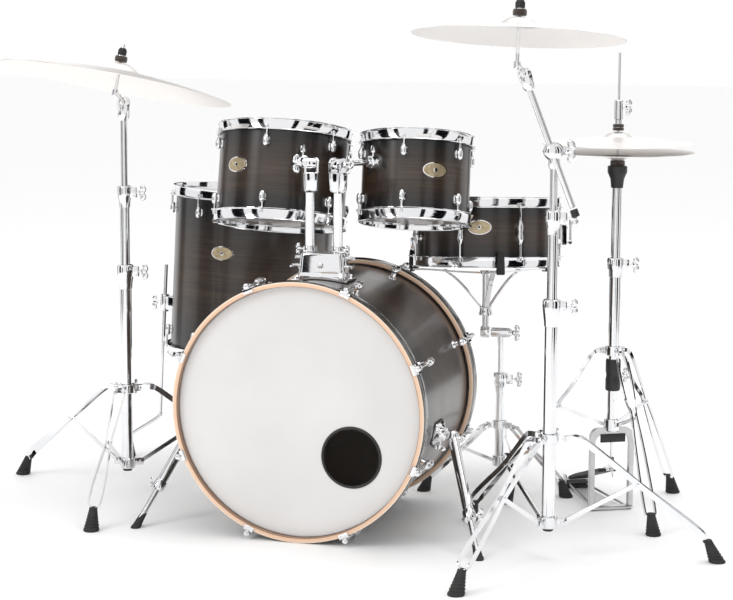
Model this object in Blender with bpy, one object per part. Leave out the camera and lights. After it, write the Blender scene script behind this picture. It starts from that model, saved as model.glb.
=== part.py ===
"""Acoustic drum kit: bass drum, two toms, floor tom and snare, with their stands and cymbals.

Metres, +Z up.  +Y runs from the front of the bass drum to the player, +X to the hi-hat side.
Every position below is measured from the floor under the front face of the bass drum;
the empty "kit" then moves the whole set so that the origin is under its middle.
"""
import math

import bmesh
import bpy
from mathutils import Matrix, Vector

# ---- driving dimensions ------------------------------------------------------------------
KIT_SHIFT = Vector((-0.0166, -0.3547, 0.0))
GAP = 0.0004                      # air left between neighbouring pieces

BASS_RADIUS = 0.2794              # 22 inch shell
BASS_LENGTH = 0.4572              # 18 inch shell
BASS_HOOP_RADIUS = 0.2935
BASS_HOOP_WIDTH = 0.038
BASS_OVERALL = 0.490              # hoop face to hoop face
BASS_AXIS_HEIGHT = BASS_HOOP_RADIUS
BASS_WALL = 0.0075
PORT_CENTRE = (0.124, -0.094)     # across and up from the drum's axis
PORT_RADIUS = 0.066

SHELL_WALL = 0.006
HOOP_REACH = 0.016                # hoop above the bearing edge

TOM_TILT = math.radians(12.0)
TOM_LARGE = dict(centre=Vector((-0.161, 0.382, 0.784)), radius=0.1524, height=0.2032, flange=0.0105,
                 lean=Vector((0.0, 1.0)))
TOM_SMALL = dict(centre=Vector((0.158, 0.415, 0.783)), radius=0.1270, height=0.1778, flange=0.0105,
                 lean=Vector((-0.12, 0.99)))
POST_SPACING = 0.067
POST_Y = 0.200
POST_RADIUS = 0.0108
POST_FOOT = 0.475
HEAD_HEIGHT = 0.832               # pivot of each tom arm
MOUNT_TOP = 0.630

FLOOR_TOM = dict(centre=Vector((-0.370, 0.750, 0.506)), radius=0.2032, height=0.4064, flange=0.0125,
                 lean=Vector((0.66, 0.75)))
FLOOR_TOM_TILT = math.radians(3.0)
FLOOR_LEG_RADIUS = 0.0050
FLOOR_LEG_CIRCLE = 0.240
FLOOR_LEG_TURNOUT = 0.082
FLOOR_LEG_ANGLES = (180.0, 300.0, 60.0)

SNARE = dict(centre=Vector((0.257, 0.719, 0.635)), radius=0.1778, height=0.1397, flange=0.0145,
             lean=Vector((-0.285, 0.958)))
SNARE_TILT = math.radians(5.5)
SNARE_POLE = Vector((0.303, 0.700, 0.0))
SNARE_JOINT_HEIGHT = 0.3865
BASKET_ANGLES = (-66.5, 53.5, 173.5)

RIDE_POLE = Vector((-0.542, 0.322, 0.0))
CRASH_POLE = Vector((0.560, 0.050, 0.0))
HAT_POLE = Vector((0.615, 0.524, 0.0))
BASE_TUBE = 0.0143                # outer radii of the three telescoping tubes
MID_TUBE = 0.0111
TOP_TUBE = 0.0080
TUBE_WALL = 0.0016
RIDE_LEGS = (160.0, 280.0, 40.0)
CRASH_LEGS = (-108.9, 11.1, 131.1)
HAT_LEGS = (-57.5, 62.5, 182.5)
SNARE_LEGS = (216.5, 336.5, 96.5)

RIDE_PIVOT = Vector((-0.542, 0.322, 0.958))
RIDE_NORMAL = Vector((0.126, 0.180, 0.9755)).normalized()
CRASH_BALL = Vector((0.560, 0.050, 0.884))
CRASH_PIVOT = Vector((0.4965, 0.028, 1.0465))
CRASH_NORMAL = Vector((0.0137, 0.1115, 0.9937)).normalized()
RIDE_RADIUS = 0.2794              # 22 inch
CRASH_RADIUS = 0.2286             # 18 inch
HAT_RADIUS = 0.1778               # 14 inch
BOTTOM_HAT_EDGE = 0.853
TOP_HAT_EDGE = 0.873
FOOTBOARD_ANGLE = 120.0

UP = Vector((0.0, 0.0, 1.0))
TUBE_SIDES = 8
CYMBAL_SIDES = 28

for old in list(bpy.data.objects):
    bpy.data.objects.remove(old, do_unlink=True)

kit = bpy.data.objects.new("kit", None)
kit.location = KIT_SHIFT
bpy.context.scene.collection.objects.link(kit)


# ---- materials ---------------------------------------------------------------------------
def material(name, colour, roughness, metallic=0.0):
    made = bpy.data.materials.new(name)
    made.use_nodes = True
    shader = made.node_tree.nodes["Principled BSDF"]
    shader.inputs["Base Color"].default_value = (*colour, 1.0)
    shader.inputs["Roughness"].default_value = roughness
    shader.inputs["Metallic"].default_value = metallic
    return made


LACQUER = material("black_burst", (0.035, 0.026, 0.022), 0.35)
MAPLE = material("maple", (0.80, 0.55, 0.36), 0.45)
CHROME = material("chrome", (0.85, 0.85, 0.87), 0.08, 1.0)
FROSTED = material("frosted_head", (0.80, 0.80, 0.80), 0.55)
CLEAR = material("clear_head", (0.85, 0.82, 0.78), 0.20)
RUBBER = material("rubber", (0.025, 0.025, 0.027), 0.75)
BRONZE = material("cymbal", (0.86, 0.80, 0.76), 0.30, 1.0)
STEEL = material("wire", (0.70, 0.70, 0.72), 0.30, 1.0)


# ---- building blocks: each returns a temporary closed object -----------------------------
def from_bmesh(bm):
    bmesh.ops.recalc_face_normals(bm, faces=bm.faces)
    mesh = bpy.data.meshes.new("piece")
    bm.to_mesh(mesh)
    bm.free()
    piece = bpy.data.objects.new("piece", mesh)
    bpy.context.scene.collection.objects.link(piece)
    return piece


def loft(rings, closed_ends=True, loop=False):
    """A skin through rings of points; a ring of one point is a tip."""
    bm = bmesh.new()
    rows = [[bm.verts.new(p) for p in ring] for ring in rings]
    pairs = list(zip(rows, rows[1:]))
    if loop:
        pairs.append((rows[-1], rows[0]))
    for low, high in pairs:
        count = max(len(low), len(high))
        for i in range(count):
            j = (i + 1) % count
            corners = [low[i % len(low)], low[j % len(low)], high[j % len(high)], high[i % len(high)]]
            unique = list(dict.fromkeys(corners))
            bm.faces.new(unique)
    if closed_ends and not loop:
        for row in (rows[0], rows[-1]):
            if len(row) > 2:
                bm.faces.new(row)
    return from_bmesh(bm)


def circle(radius, height, sides):
    turn = 2.0 * math.pi / sides
    return [Vector((radius * math.cos(turn * (i + 0.5)), radius * math.sin(turn * (i + 0.5)), height))
            for i in range(sides)]


def turned(profile, sides, place=Matrix.Identity(4)):
    """A profile of (radius, height) turned about local Z; it is a ring if it stays off the axis."""
    rings = [circle(r, z, sides) if r > 0.0 else [Vector((0.0, 0.0, z))] for r, z in profile]
    loop = min(r for r, z in profile) > 0.0
    return loft([[place @ p for p in ring] for ring in rings], loop=loop)


def along(start, end):
    """The placement whose local Z runs from start to end."""
    direction = (end - start).normalized()
    return Matrix.Translation(start) @ direction.to_track_quat("Z", "Y").to_matrix().to_4x4()


def rod(start, end, radius, sides=8):
    length = (end - start).length
    return loft([[along(start, end) @ p for p in circle(radius, height, sides)] for height in (0.0, length)])


def tube(start, end, outer, inner, sides=TUBE_SIDES):
    length = (end - start).length
    return turned([(inner, 0.0), (outer, 0.0), (outer, length), (inner, length)], sides, along(start, end))


def capped_tube(start, end, outer, inner, cap):
    """A tube whose bore stops short of its far end."""
    length = (end - start).length
    return turned([(0.0, length - cap), (inner, length - cap), (inner, 0.0), (outer, 0.0), (outer, length),
                   (0.0, length)], TUBE_SIDES, along(start, end))


def box(size, place):
    bm = bmesh.new()
    bmesh.ops.create_cube(bm, size=1.0, matrix=place @ Matrix.Diagonal((*size, 1.0)))
    return from_bmesh(bm)


def frustum(low, low_radius, high, high_radius, sides=8):
    """Two level circles joined, which may be offset sideways: a splayed rubber foot."""
    return loft([[low + p for p in circle(low_radius, 0.0, sides)],
                 [high + p for p in circle(high_radius, 0.0, sides)]])


def bent_rod(points, radius, level, sides=8):
    """A round bar through points in one plane; level is the direction square to that plane."""
    rings = []
    for i, point in enumerate(points):
        heading = (points[min(i + 1, len(points) - 1)] - points[max(i - 1, 0)]).normalized()
        across = level.cross(heading)
        rings.append([point + across * p.x + level * p.y for p in circle(radius, 0.0, sides)])
    return loft(rings)


def strip(path, half_width, near, far, plane):
    """A flat bar in a vertical plane: path is (out, up) points, near and far are its two faces."""
    outline = []
    for side in (1.0, -1.0):
        edge = []
        for i, point in enumerate(path):
            before = Vector(path[max(i - 1, 0)])
            after = Vector(path[min(i + 1, len(path) - 1)])
            heading = (after - before).normalized()
            edge.append(Vector(point) + side * half_width * Vector((-heading.y, heading.x)))
        outline += edge if side > 0.0 else list(reversed(edge))
    rings = [[plane @ Vector((p.x, across, p.y)) for p in outline] for across in (near, far)]
    return loft(rings)


def upright(pole, angle):
    """The vertical plane through a pole at an angle: local X out, local Z up."""
    return Matrix.Translation(pole) @ Matrix.Rotation(math.radians(angle), 4, "Z")


def build(name, look, pieces, cuts=(), origin=Vector((0.0, 0.0, 0.0))):
    """Weld the pieces, cut the cuts, and leave one object whose origin is the joint's point."""
    body = pieces[0]
    groups = []
    for operation, tools in (("UNION", pieces[1:]), ("DIFFERENCE", cuts)):
        if tools:
            group = bpy.data.collections.new(operation)
            for tool in tools:
                group.objects.link(tool)
            weld = body.modifiers.new(operation, "BOOLEAN")
            weld.operation = operation
            weld.operand_type = "COLLECTION"
            weld.collection = group
            groups.append(group)
    mesh = bpy.data.meshes.new_from_object(body.evaluated_get(bpy.context.evaluated_depsgraph_get()))
    mesh.transform(Matrix.Translation(-origin))
    mesh.materials.clear()
    mesh.materials.append(look)
    mesh.name = name
    for piece in list(pieces) + list(cuts):
        bpy.data.objects.remove(piece, do_unlink=True)
    for group in groups:
        bpy.data.collections.remove(group)
    made = bpy.data.objects.new(name, mesh)
    made.parent = kit
    made.location = origin
    bpy.context.scene.collection.objects.link(made)
    return made


# ---- bass drum ---------------------------------------------------------------------------
BASS_SIDES = 32
BASS_PLACE = (Matrix.Translation((0.0, 0.0, BASS_AXIS_HEIGHT))
              @ Matrix.Rotation(math.radians(-90.0), 4, "X"))     # local Z runs to the player
SHELL_START = (BASS_OVERALL - BASS_LENGTH) / 2.0
SPUR_HEIGHT_ANGLE = -12.6
SPUR_REACH = 0.3175
SPUR_Y = 0.190
SPUR_FOOT_RIGHT = Vector((0.423, -0.017, 0.0))
SPUR_FOOT_LEFT = Vector((-0.394, 0.018, 0.0))
SPUR_BALL = 0.016


def around_bass(angle, radius, depth):
    """A placement on the bass shell: local X out from the axis, local Z along the drum."""
    turn = math.radians(angle)
    out = Vector((math.cos(turn), 0.0, math.sin(turn)))
    axis = Vector((0.0, 1.0, 0.0))
    side = axis.cross(out)
    spot = out * radius + Vector((0.0, depth, BASS_AXIS_HEIGHT))
    return Matrix.Translation(spot) @ Matrix((out, side, axis)).transposed().to_4x4()


def bass_drum():
    inner = BASS_RADIUS - BASS_WALL
    end = SHELL_START + BASS_LENGTH
    shell = turned([(inner, SHELL_START), (BASS_RADIUS, SHELL_START), (BASS_RADIUS, end), (inner, end)],
                   BASS_SIDES, BASS_PLACE)
    fittings = []
    for k in range(8):
        for depth in (0.092, BASS_OVERALL - 0.092):
            place = around_bass(22.5 + 45.0 * k, BASS_RADIUS + 0.008, depth)
            fittings.append(box((0.022, 0.022, 0.044), place))
    for angle in (SPUR_HEIGHT_ANGLE, 180.0 - SPUR_HEIGHT_ANGLE):
        inside, outside = BASS_RADIUS - 0.003, SPUR_REACH - SPUR_BALL - GAP
        place = around_bass(angle, (inside + outside) / 2.0, SPUR_Y)
        fittings.append(box((outside - inside, 0.050, 0.070), place))
    holes = []
    for x in (-POST_SPACING / 2.0, POST_SPACING / 2.0):
        low = Vector((x, POST_Y, BASS_AXIS_HEIGHT + 0.2))
        holes.append(rod(low, low + UP * 0.15, POST_RADIUS + 0.002, TUBE_SIDES))
    build("bass_shell", LACQUER, [shell] + fittings, holes)

    for name, start in (("bass_hoop_front", 0.0), ("bass_hoop_rear", BASS_OVERALL - BASS_HOOP_WIDTH)):
        hoop_inner = BASS_RADIUS + 0.0026
        stop = start + BASS_HOOP_WIDTH
        build(name, MAPLE, [turned([(hoop_inner, start), (BASS_HOOP_RADIUS, start),
                                    (BASS_HOOP_RADIUS, stop), (hoop_inner, stop)], BASS_SIDES, BASS_PLACE)])

    flip = Matrix.Translation((0.0, 0.0, BASS_OVERALL)) @ Matrix.Rotation(math.pi, 4, "X")
    film = [(0.0, SHELL_START - 0.0014), (BASS_RADIUS + 0.0022, SHELL_START - 0.0014),
            (BASS_RADIUS + 0.0022, SHELL_START - GAP), (0.0, SHELL_START - GAP)]
    port_place = BASS_PLACE @ Matrix.Translation((PORT_CENTRE[0], -PORT_CENTRE[1], 0.0))
    port = turned([(0.0, 0.0), (PORT_RADIUS, 0.0), (PORT_RADIUS, 0.03), (0.0, 0.03)], 24, port_place)
    build("bass_head_front", FROSTED, [turned(film, BASS_SIDES, BASS_PLACE)], [port])
    build("bass_head_batter", FROSTED, [turned(film, BASS_SIDES, BASS_PLACE @ flip)])


def spur_points(side):
    turn = math.radians(SPUR_HEIGHT_ANGLE)
    pivot = Vector((side * SPUR_REACH * math.cos(turn), SPUR_Y,
                    BASS_AXIS_HEIGHT + SPUR_REACH * math.sin(turn)))
    return pivot, SPUR_FOOT_RIGHT if side > 0.0 else SPUR_FOOT_LEFT


def spur(name, side):
    pivot, foot = spur_points(side)
    heading = (foot - pivot).normalized()
    ball = turned([(0.0, -SPUR_BALL), (SPUR_BALL * 0.72, -SPUR_BALL * 0.69), (SPUR_BALL, 0.0),
                   (SPUR_BALL * 0.72, SPUR_BALL * 0.69), (0.0, SPUR_BALL)], 12, Matrix.Translation(pivot))
    length = (foot - pivot).length
    sleeve = rod(pivot, pivot + heading * (length - 0.110), 0.0120)
    collar = rod(pivot + heading * (length - 0.125), pivot + heading * (length - 0.102), 0.0150)
    leg = rod(pivot + heading * (length - 0.140), pivot + heading * (length - 0.024), 0.0070)
    rubber = frustum(foot, 0.0120, pivot + heading * (length - 0.038), 0.0105)
    build(name, CHROME, [sleeve, ball, collar, leg, rubber], origin=pivot)


# ---- tom mount, posts and arms -----------------------------------------------------------
def tom_mount():
    block = box((0.108, 0.052, 0.075), Matrix.Translation((0.0, POST_Y, MOUNT_TOP - 0.0375)))
    foot = box((0.130, 0.090, 0.030), Matrix.Translation((0.0, POST_Y, 0.5745)))
    under = turned([(0.0, 0.0), (BASS_RADIUS + GAP, 0.0), (BASS_RADIUS + GAP, 0.4), (0.0, 0.4)],
                   BASS_SIDES, BASS_PLACE)
    sockets = []
    for x in (-POST_SPACING / 2.0, POST_SPACING / 2.0):
        low = Vector((x, POST_Y, 0.50))
        sockets.append(rod(low, low + UP * 0.2, POST_RADIUS + 0.0009, TUBE_SIDES))
    build("tom_mount", CHROME, [block, foot], [under] + sockets)


def drum_place(drum, tilt):
    """Local Z is the drum's axis, leaning by tilt towards drum["lean"]."""
    lean = drum["lean"].normalized()
    axis = Vector((-lean.y, lean.x, 0.0))
    return Matrix.Translation(drum["centre"]) @ Matrix.Rotation(tilt, 4, axis)


def arm_points(tom, side):
    """The arm's pivot on its post, its heading to the tom, and the distance to the tom's axis."""
    pivot = Vector((side * POST_SPACING / 2.0, POST_Y, HEAD_HEIGHT))
    across = tom["centre"] + Vector((tom["lean"].x, tom["lean"].y, 0.0)) * 0.0146 - pivot
    across.z = 0.0
    return pivot, across.normalized(), across.length


def tom_post_and_arm(size, tom, side):
    pivot, heading, reach = arm_points(tom, side)
    cheek_axis = UP.cross(heading)
    frame = Matrix.Translation(pivot) @ heading.to_track_quat("X", "Z").to_matrix().to_4x4()
    base = Vector((pivot.x, pivot.y, 0.0))
    post = capped_tube(base + UP * POST_FOOT, base + UP * 0.785, POST_RADIUS, POST_RADIUS - 0.002, 0.040)
    lock = tube(base + UP * (MOUNT_TOP + GAP), base + UP * (MOUNT_TOP + 0.014), 0.0165, POST_RADIUS - 0.001)
    head = box((0.033, 0.035, 0.045), Matrix.Translation(pivot - UP * 0.0410) @ frame.to_3x3().to_4x4())
    cheeks = [box((0.026, 0.0045, 0.045), frame @ Matrix.Translation((0.0, s * 0.0142, -0.0075)))
              for s in (-1.0, 1.0)]
    build("tom_post_" + size, CHROME, [post, lock, head] + cheeks, origin=pivot)

    barrel = rod(pivot - cheek_axis * 0.0114, pivot + cheek_axis * 0.0114, 0.0130, 12)
    arm = rod(pivot, pivot + heading * (reach - tom["radius"] - 0.006), 0.0065, 10)
    ring = rod(pivot + heading * 0.026, pivot + heading * 0.040, 0.0130)
    build("tom_arm_" + size, CHROME, [barrel, arm, ring], origin=pivot)


# ---- shells, hoops and heads of the standing drums ---------------------------------------
def drum(prefix, size, place, sides, lug_angles, lug_size, extras=(), cuts=()):
    radius, half = size["radius"], size["height"] / 2.0
    inner = radius - SHELL_WALL
    shell = turned([(inner, -half), (radius, -half), (radius, half), (inner, half)], sides, place)
    lugs = []
    for angle in lug_angles:
        spin = Matrix.Rotation(math.radians(angle), 4, "Z")
        for height in lug_size["heights"]:
            spot = Matrix.Translation((radius + lug_size["box"][0] / 2.0 - 0.003, 0.0, height))
            lugs.append(box(lug_size["box"], place @ spin @ spot))
    build(prefix + "_shell", LACQUER, [shell] + lugs + list(extras), cuts)

    bore, wall, flange = radius + 0.0026, radius + 0.0050, radius + size["flange"]
    build(prefix + "_hoop_top", CHROME, [turned(
        [(bore, half - 0.010), (flange, half - 0.010), (wall, half - 0.006),
         (wall, half + HOOP_REACH), (bore, half + HOOP_REACH)], sides, place)])
    build(prefix + "_head_top", FROSTED, [turned(
        [(0.0, half + 0.0014), (radius + 0.0022, half + 0.0014), (radius + 0.0022, half + GAP),
         (0.0, half + GAP)], sides, place)])
    build(prefix + "_head_and_hoop_bottom", CHROME, [turned(
        [(0.0, -half - GAP), (bore, -half - GAP), (bore, -half + 0.010), (flange, -half + 0.010),
         (wall, -half + 0.006), (wall, -half - HOOP_REACH), (bore, -half - HOOP_REACH),
         (bore, -half - 0.0014), (0.0, -half - 0.0014)], sides, place)])


def tom(size, tom_drum, side):
    pivot, heading, reach = arm_points(tom_drum, side)
    face = reach - tom_drum["radius"]
    frame = Matrix.Translation(pivot) @ heading.to_track_quat("X", "Z").to_matrix().to_4x4()
    plate = box((0.010, 0.066, 0.056), frame @ Matrix.Translation((face - 0.001, 0.0, -0.013)))
    socket = box((0.036, 0.030, 0.034), frame @ Matrix.Translation((face - 0.016, 0.0, 0.0)))
    hole = rod(pivot + heading * (face - 0.07), pivot + heading * (face - 0.0045), 0.0072, 10)
    place = drum_place(tom_drum, TOM_TILT)
    half = tom_drum["height"] / 2.0
    away = math.degrees(math.atan2(-heading.y, -heading.x))
    angles = [away + 30.0 + 60.0 * k for k in range(6)]
    lug = dict(box=(0.018, 0.016, 0.026), heights=(half - 0.036, 0.036 - half))
    drum("tom_" + size, tom_drum, place, 24, angles, lug, [plate, socket], [hole])


# ---- floor tom ---------------------------------------------------------------------------
def floor_tom():
    place = drum_place(FLOOR_TOM, FLOOR_TOM_TILT)
    axis = (place.to_3x3() @ UP).normalized()
    half = FLOOR_TOM["height"] / 2.0
    brackets, holes = [], []
    for number, angle in enumerate(FLOOR_LEG_ANGLES, 1):
        spin = place @ Matrix.Rotation(math.radians(angle), 4, "Z")
        brackets.append(box((0.050, 0.030, 0.046), spin @ Matrix.Translation((0.2250, 0.0, -0.100))))
        low = spin @ Vector((FLOOR_LEG_CIRCLE, 0.0, -0.17))
        holes.append(rod(low, low + axis * 0.13, FLOOR_LEG_RADIUS + 0.0008, 10))
        top = spin @ Vector((FLOOR_LEG_CIRCLE, 0.0, 0.0))
        foot = spin @ Vector((FLOOR_LEG_CIRCLE + FLOOR_LEG_TURNOUT, 0.0, 0.0))
        drop = foot.z / axis.z
        ground = foot - axis * drop
        down = (0.0, drop - 0.125, drop - 0.110, drop - 0.066, drop - 0.050, drop - 0.020)
        out = (0.0, 0.0, 0.010, FLOOR_LEG_TURNOUT - 0.010, FLOOR_LEG_TURNOUT, FLOOR_LEG_TURNOUT)
        path = [spin @ Vector((FLOOR_LEG_CIRCLE + x, 0.0, -z)) for x, z in zip(out, down)]
        level = Vector((ground.x, ground.y, 0.0))
        rubber = frustum(level, 0.0160, level + UP * 0.045, 0.0110)
        level_axis = spin.to_3x3() @ Vector((0.0, 1.0, 0.0))
        leg = bent_rod(path, FLOOR_LEG_RADIUS, level_axis)
        build("floor_tom_leg_%d" % number, CHROME, [leg, rubber], origin=top)
    lug = dict(box=(0.018, 0.018, 0.030), heights=(half - 0.045, 0.045 - half))
    drum("floor_tom", FLOOR_TOM, place, 28, [22.5 + 45.0 * k for k in range(8)], lug, brackets, holes)


# ---- snare drum and its stand ------------------------------------------------------------
STRAINER_ANGLE = 16.5
LEVER_PIVOT = Vector((0.2085, 0.0, -0.026))      # in the snare drum's own frame


def snare_drum():
    place = drum_place(SNARE, SNARE_TILT)
    half = SNARE["height"] / 2.0
    spin = place @ Matrix.Rotation(math.radians(STRAINER_ANGLE), 4, "Z")
    body = box((0.026, 0.036, 0.070), spin @ Matrix.Translation((0.1880, 0.0, -0.008)))
    lug = dict(box=(0.017, 0.017, 0.056), heights=(0.0,))
    drum("snare", SNARE, place, 28, [STRAINER_ANGLE + 22.5 + 45.0 * k for k in range(8)], lug, [body])
    wires = box((0.300, 0.045, 0.0016), spin @ Matrix.Translation((0.0, 0.0, -half - 0.0030)))
    build("snare_wires", STEEL, [wires])
    pivot = spin @ LEVER_PIVOT
    barrel = box((0.008, 0.014, 0.010), spin @ Matrix.Translation(LEVER_PIVOT))
    lever = box((0.0055, 0.014, 0.060), spin @ Matrix.Translation(LEVER_PIVOT + Vector((0.001, 0.0, 0.030))))
    build("snare_strainer_lever", CHROME, [lever, barrel], origin=pivot)


def snare_joint():
    """Where the basket's tube tilts on the stand, and the level bar that carries it."""
    axis = drum_place(SNARE, SNARE_TILT).to_3x3() @ UP
    down = (SNARE["centre"].z - SNARE_JOINT_HEIGHT) / axis.z
    joint = SNARE["centre"] - axis * down
    pole = SNARE_POLE + UP * SNARE_JOINT_HEIGHT
    return joint, pole, (joint - pole).normalized()


def snare_basket():
    place = drum_place(SNARE, SNARE_TILT)
    joint, pole, heading = snare_joint()
    half = SNARE["height"] / 2.0
    floor = -half - HOOP_REACH - GAP
    hub_low, hub_high = -0.196, floor - 0.010
    axis = place.to_3x3() @ UP
    pieces = [rod(joint + axis * 0.004, place @ Vector((0.0, 0.0, hub_high)), 0.0085, 10),
              rod(place @ Vector((0.0, 0.0, hub_low - 0.012)), place @ Vector((0.0, 0.0, hub_low + 0.012)),
                  0.0170, 12),
              rod(joint - heading * 0.0115, joint + heading * 0.0115, 0.0150, 12)]
    hoop = SNARE["radius"] + SNARE["flange"]
    for angle in BASKET_ANGLES:
        plane = place @ Matrix.Rotation(math.radians(angle), 4, "Z")
        level = floor - 0.0085
        pieces.append(strip([(0.0, hub_high - 0.006), (0.080, level - 0.004), (hoop + 0.004, level)],
                            0.0035, -0.007, 0.007, plane))
        pieces.append(strip([(0.004, hub_low), (0.045, -0.150), (0.110, level - 0.002)],
                            0.0030, -0.006, 0.006, plane))
        pieces.append(box((0.0090, 0.020, 0.052), plane @ Matrix.Translation((hoop + 0.0062, 0.0, level + 0.022))))
    build("snare_basket", CHROME, pieces, origin=joint)


# ---- tripods and telescoping tubes -------------------------------------------------------
def collar(pole, height, bore, angles, ears=True, half=0.011):
    low, high = pole + UP * (height - half), pole + UP * (height + half)
    pieces = [tube(low, high, bore + 0.0055, bore)]
    if ears:
        for angle in angles:
            plane = upright(pole, angle)
            pieces.append(box((0.022, 0.006, 0.016), plane @ Matrix.Translation((bore + 0.0140, 0.0, height))))
    return pieces


def fork(pole, height, inner, angles):
    """Pairs of small plates on the lower collar that hold the braces' ends."""
    pieces = []
    for angle in angles:
        plane = upright(pole, angle)
        for side in (-1.0, 1.0):
            spot = Matrix.Translation((inner + 0.013, side * 0.0040, height))
            pieces.append(box((0.026, 0.0030, 0.016), plane @ spot))
    return pieces


def leg_pieces(pole, angle, path, half_width, foot, spread=0.0200):
    """Two parallel flat bars on a splayed rubber foot."""
    plane = upright(pole, angle)
    bars = [strip(path, half_width, side * 0.0034, side * 0.0064, plane) for side in (-1.0, 1.0)]
    low, high = plane @ Vector((foot[0], 0.0, 0.0)), plane @ Vector((foot[1], 0.0, foot[2]))
    return [frustum(low, spread, high, 0.0105)] + bars


def stage_casting(pole, low, high, outer, inner):
    """The tapered clamp at the top of a tube, which the next tube slides through."""
    profile = [(inner, low), (outer + 0.0005, low), (outer + 0.0035, low + 0.030),
               (outer + 0.0055, high - 0.012), (outer + 0.0055, high), (inner, high)]
    return turned(profile, TUBE_SIDES, Matrix.Translation(pole))


STAND_LEG = [(0.030, 0.264), (0.058, 0.265), (0.088, 0.250), (0.208, 0.156), (0.322, 0.070), (0.340, 0.050)]
STAND_FOOT = (0.366, 0.343, 0.050)
STAND_COLLAR = 0.264
STAND_LOW_COLLAR = 0.080
PIVOT_OUT = 0.030
RIVET = (0.190, 0.168)
STAND_JOINT_1 = (0.508, 0.567)
STAND_JOINT_2 = (0.705, 0.758)
FOLD_TRAVEL = 0.150


def base_tube(pole, low, joint, outer, next_tube):
    """A lower tube with the clamp that holds the next one."""
    inner = outer - TUBE_WALL
    bore = next_tube + 0.0006
    top = pole + UP * (joint[0] + 0.020)
    return [tube(pole + UP * low, top, outer, inner),
            stage_casting(pole, joint[0], joint[1], outer, bore)]


def ride_stand():
    pole = RIDE_POLE
    low_collar = tube(pole + UP * 0.067, pole + UP * 0.093, 0.0200, BASE_TUBE - 0.0010)
    pieces = base_tube(pole, 0.069, STAND_JOINT_1, BASE_TUBE, MID_TUBE)
    build("ride_base_tube", CHROME, pieces + [low_collar] + fork(pole, STAND_LOW_COLLAR, 0.0145, RIDE_LEGS))
    build("ride_leg_collar", CHROME, collar(pole, STAND_COLLAR, BASE_TUBE + 0.0007, RIDE_LEGS),
          origin=pole + UP * STAND_COLLAR)
    for number, angle in enumerate(RIDE_LEGS, 1):
        plane = upright(pole, angle)
        build("ride_leg_%d" % number, CHROME, leg_pieces(pole, angle, STAND_LEG, 0.0060, STAND_FOOT),
              origin=plane @ Vector((PIVOT_OUT, 0.0, STAND_COLLAR)))
        brace = strip([(PIVOT_OUT, STAND_LOW_COLLAR), RIVET], 0.0050, -0.0015, 0.0015, plane)
        build("ride_brace_%d" % number, CHROME, [brace],
              origin=plane @ Vector((PIVOT_OUT, 0.0, STAND_LOW_COLLAR)))
    telescope("ride", pole, STAND_JOINT_2)
    top_tube = rod(pole + UP * 0.575, pole + UP * 0.930, TOP_TUBE)
    offset = Vector((-0.020, -0.003, 0.022))
    frame = tilt_frame(RIDE_PIVOT, offset)
    build("ride_upper_tube", CHROME, [top_tube] + fork_head(RIDE_PIVOT, frame))
    cymbal_tilter("ride_tilter", RIDE_PIVOT, frame, RIDE_PIVOT + offset, RIDE_NORMAL, 0.022, 0.050)
    cymbal("ride_cymbal", RIDE_PIVOT + offset + RIDE_NORMAL * 0.022, RIDE_NORMAL, RIDE_RADIUS, 0.050, 0.062)


def telescope(prefix, pole, joint):
    """The middle tube, clamped in the base tube and holding the upper tube."""
    inner = MID_TUBE - TUBE_WALL
    bore = TOP_TUBE + 0.0006
    pieces = [tube(pole + UP * 0.330, pole + UP * (joint[0] + 0.020), MID_TUBE, inner),
              stage_casting(pole, joint[0], joint[1], MID_TUBE, bore)]
    build(prefix + "_mid_tube", CHROME, pieces)


def tilt_frame(pivot, neck):
    """Local Y is the level axis a cymbal tilts about, square to the tilter's neck."""
    level = UP.cross(neck).normalized()
    across = level.cross(UP).normalized()
    rotation = Matrix((across, level, UP)).transposed().to_4x4()
    return Matrix.Translation(pivot) @ rotation


def fork_head(pivot, frame):
    head = box((0.022, 0.032, 0.016), frame @ Matrix.Translation((0.0, 0.0, -0.0300)))
    cheeks = [box((0.020, 0.0045, 0.036), frame @ Matrix.Translation((0.0, side * 0.0137, -0.006)))
              for side in (-1.0, 1.0)]
    return [head] + cheeks


def cymbal_tilter(name, pivot, frame, base, normal, edge, rise):
    """Barrel, offset neck, and the post with its seat, felt and wing nut around the bell."""
    level = frame.to_3x3() @ Vector((0.0, 1.0, 0.0))
    bell = base + normal * (edge + rise)
    clear = 0.0030
    pieces = [rod(pivot - level * 0.0108, pivot + level * 0.0108, 0.0115, 12),
              rod(pivot, base, 0.0062, 8),
              rod(base - normal * 0.006, base + normal * 0.008, 0.0072, 10),
              rod(base, bell + normal * 0.046, 0.0040, 8),
              rod(bell - normal * 0.009, bell - normal * (clear + 0.0014), 0.0125, 12),
              rod(bell + normal * clear, bell + normal * 0.020, 0.0150, 12),
              rod(bell + normal * 0.0195, bell + normal * 0.036, 0.0120, 10)]
    build(name, CHROME, pieces, origin=pivot)


def cymbal(name, centre, normal, radius, rise, bell_radius):
    """A thin dished disc with a raised bell and a hole; centre is the middle of its edge circle."""
    hole, sheet = 0.0070, 0.0014
    shoulder = rise * 0.55
    top = [(hole, rise), (bell_radius * 0.5, rise - 0.004), (bell_radius, shoulder), (radius, 0.0)]
    under = [(r, z - sheet) for r, z in reversed(top)]
    place = Matrix.Translation(centre) @ normal.to_track_quat("Z", "Y").to_matrix().to_4x4()
    build(name, BRONZE, [turned(top + under, CYMBAL_SIDES, place)], origin=centre + normal * rise)


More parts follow.
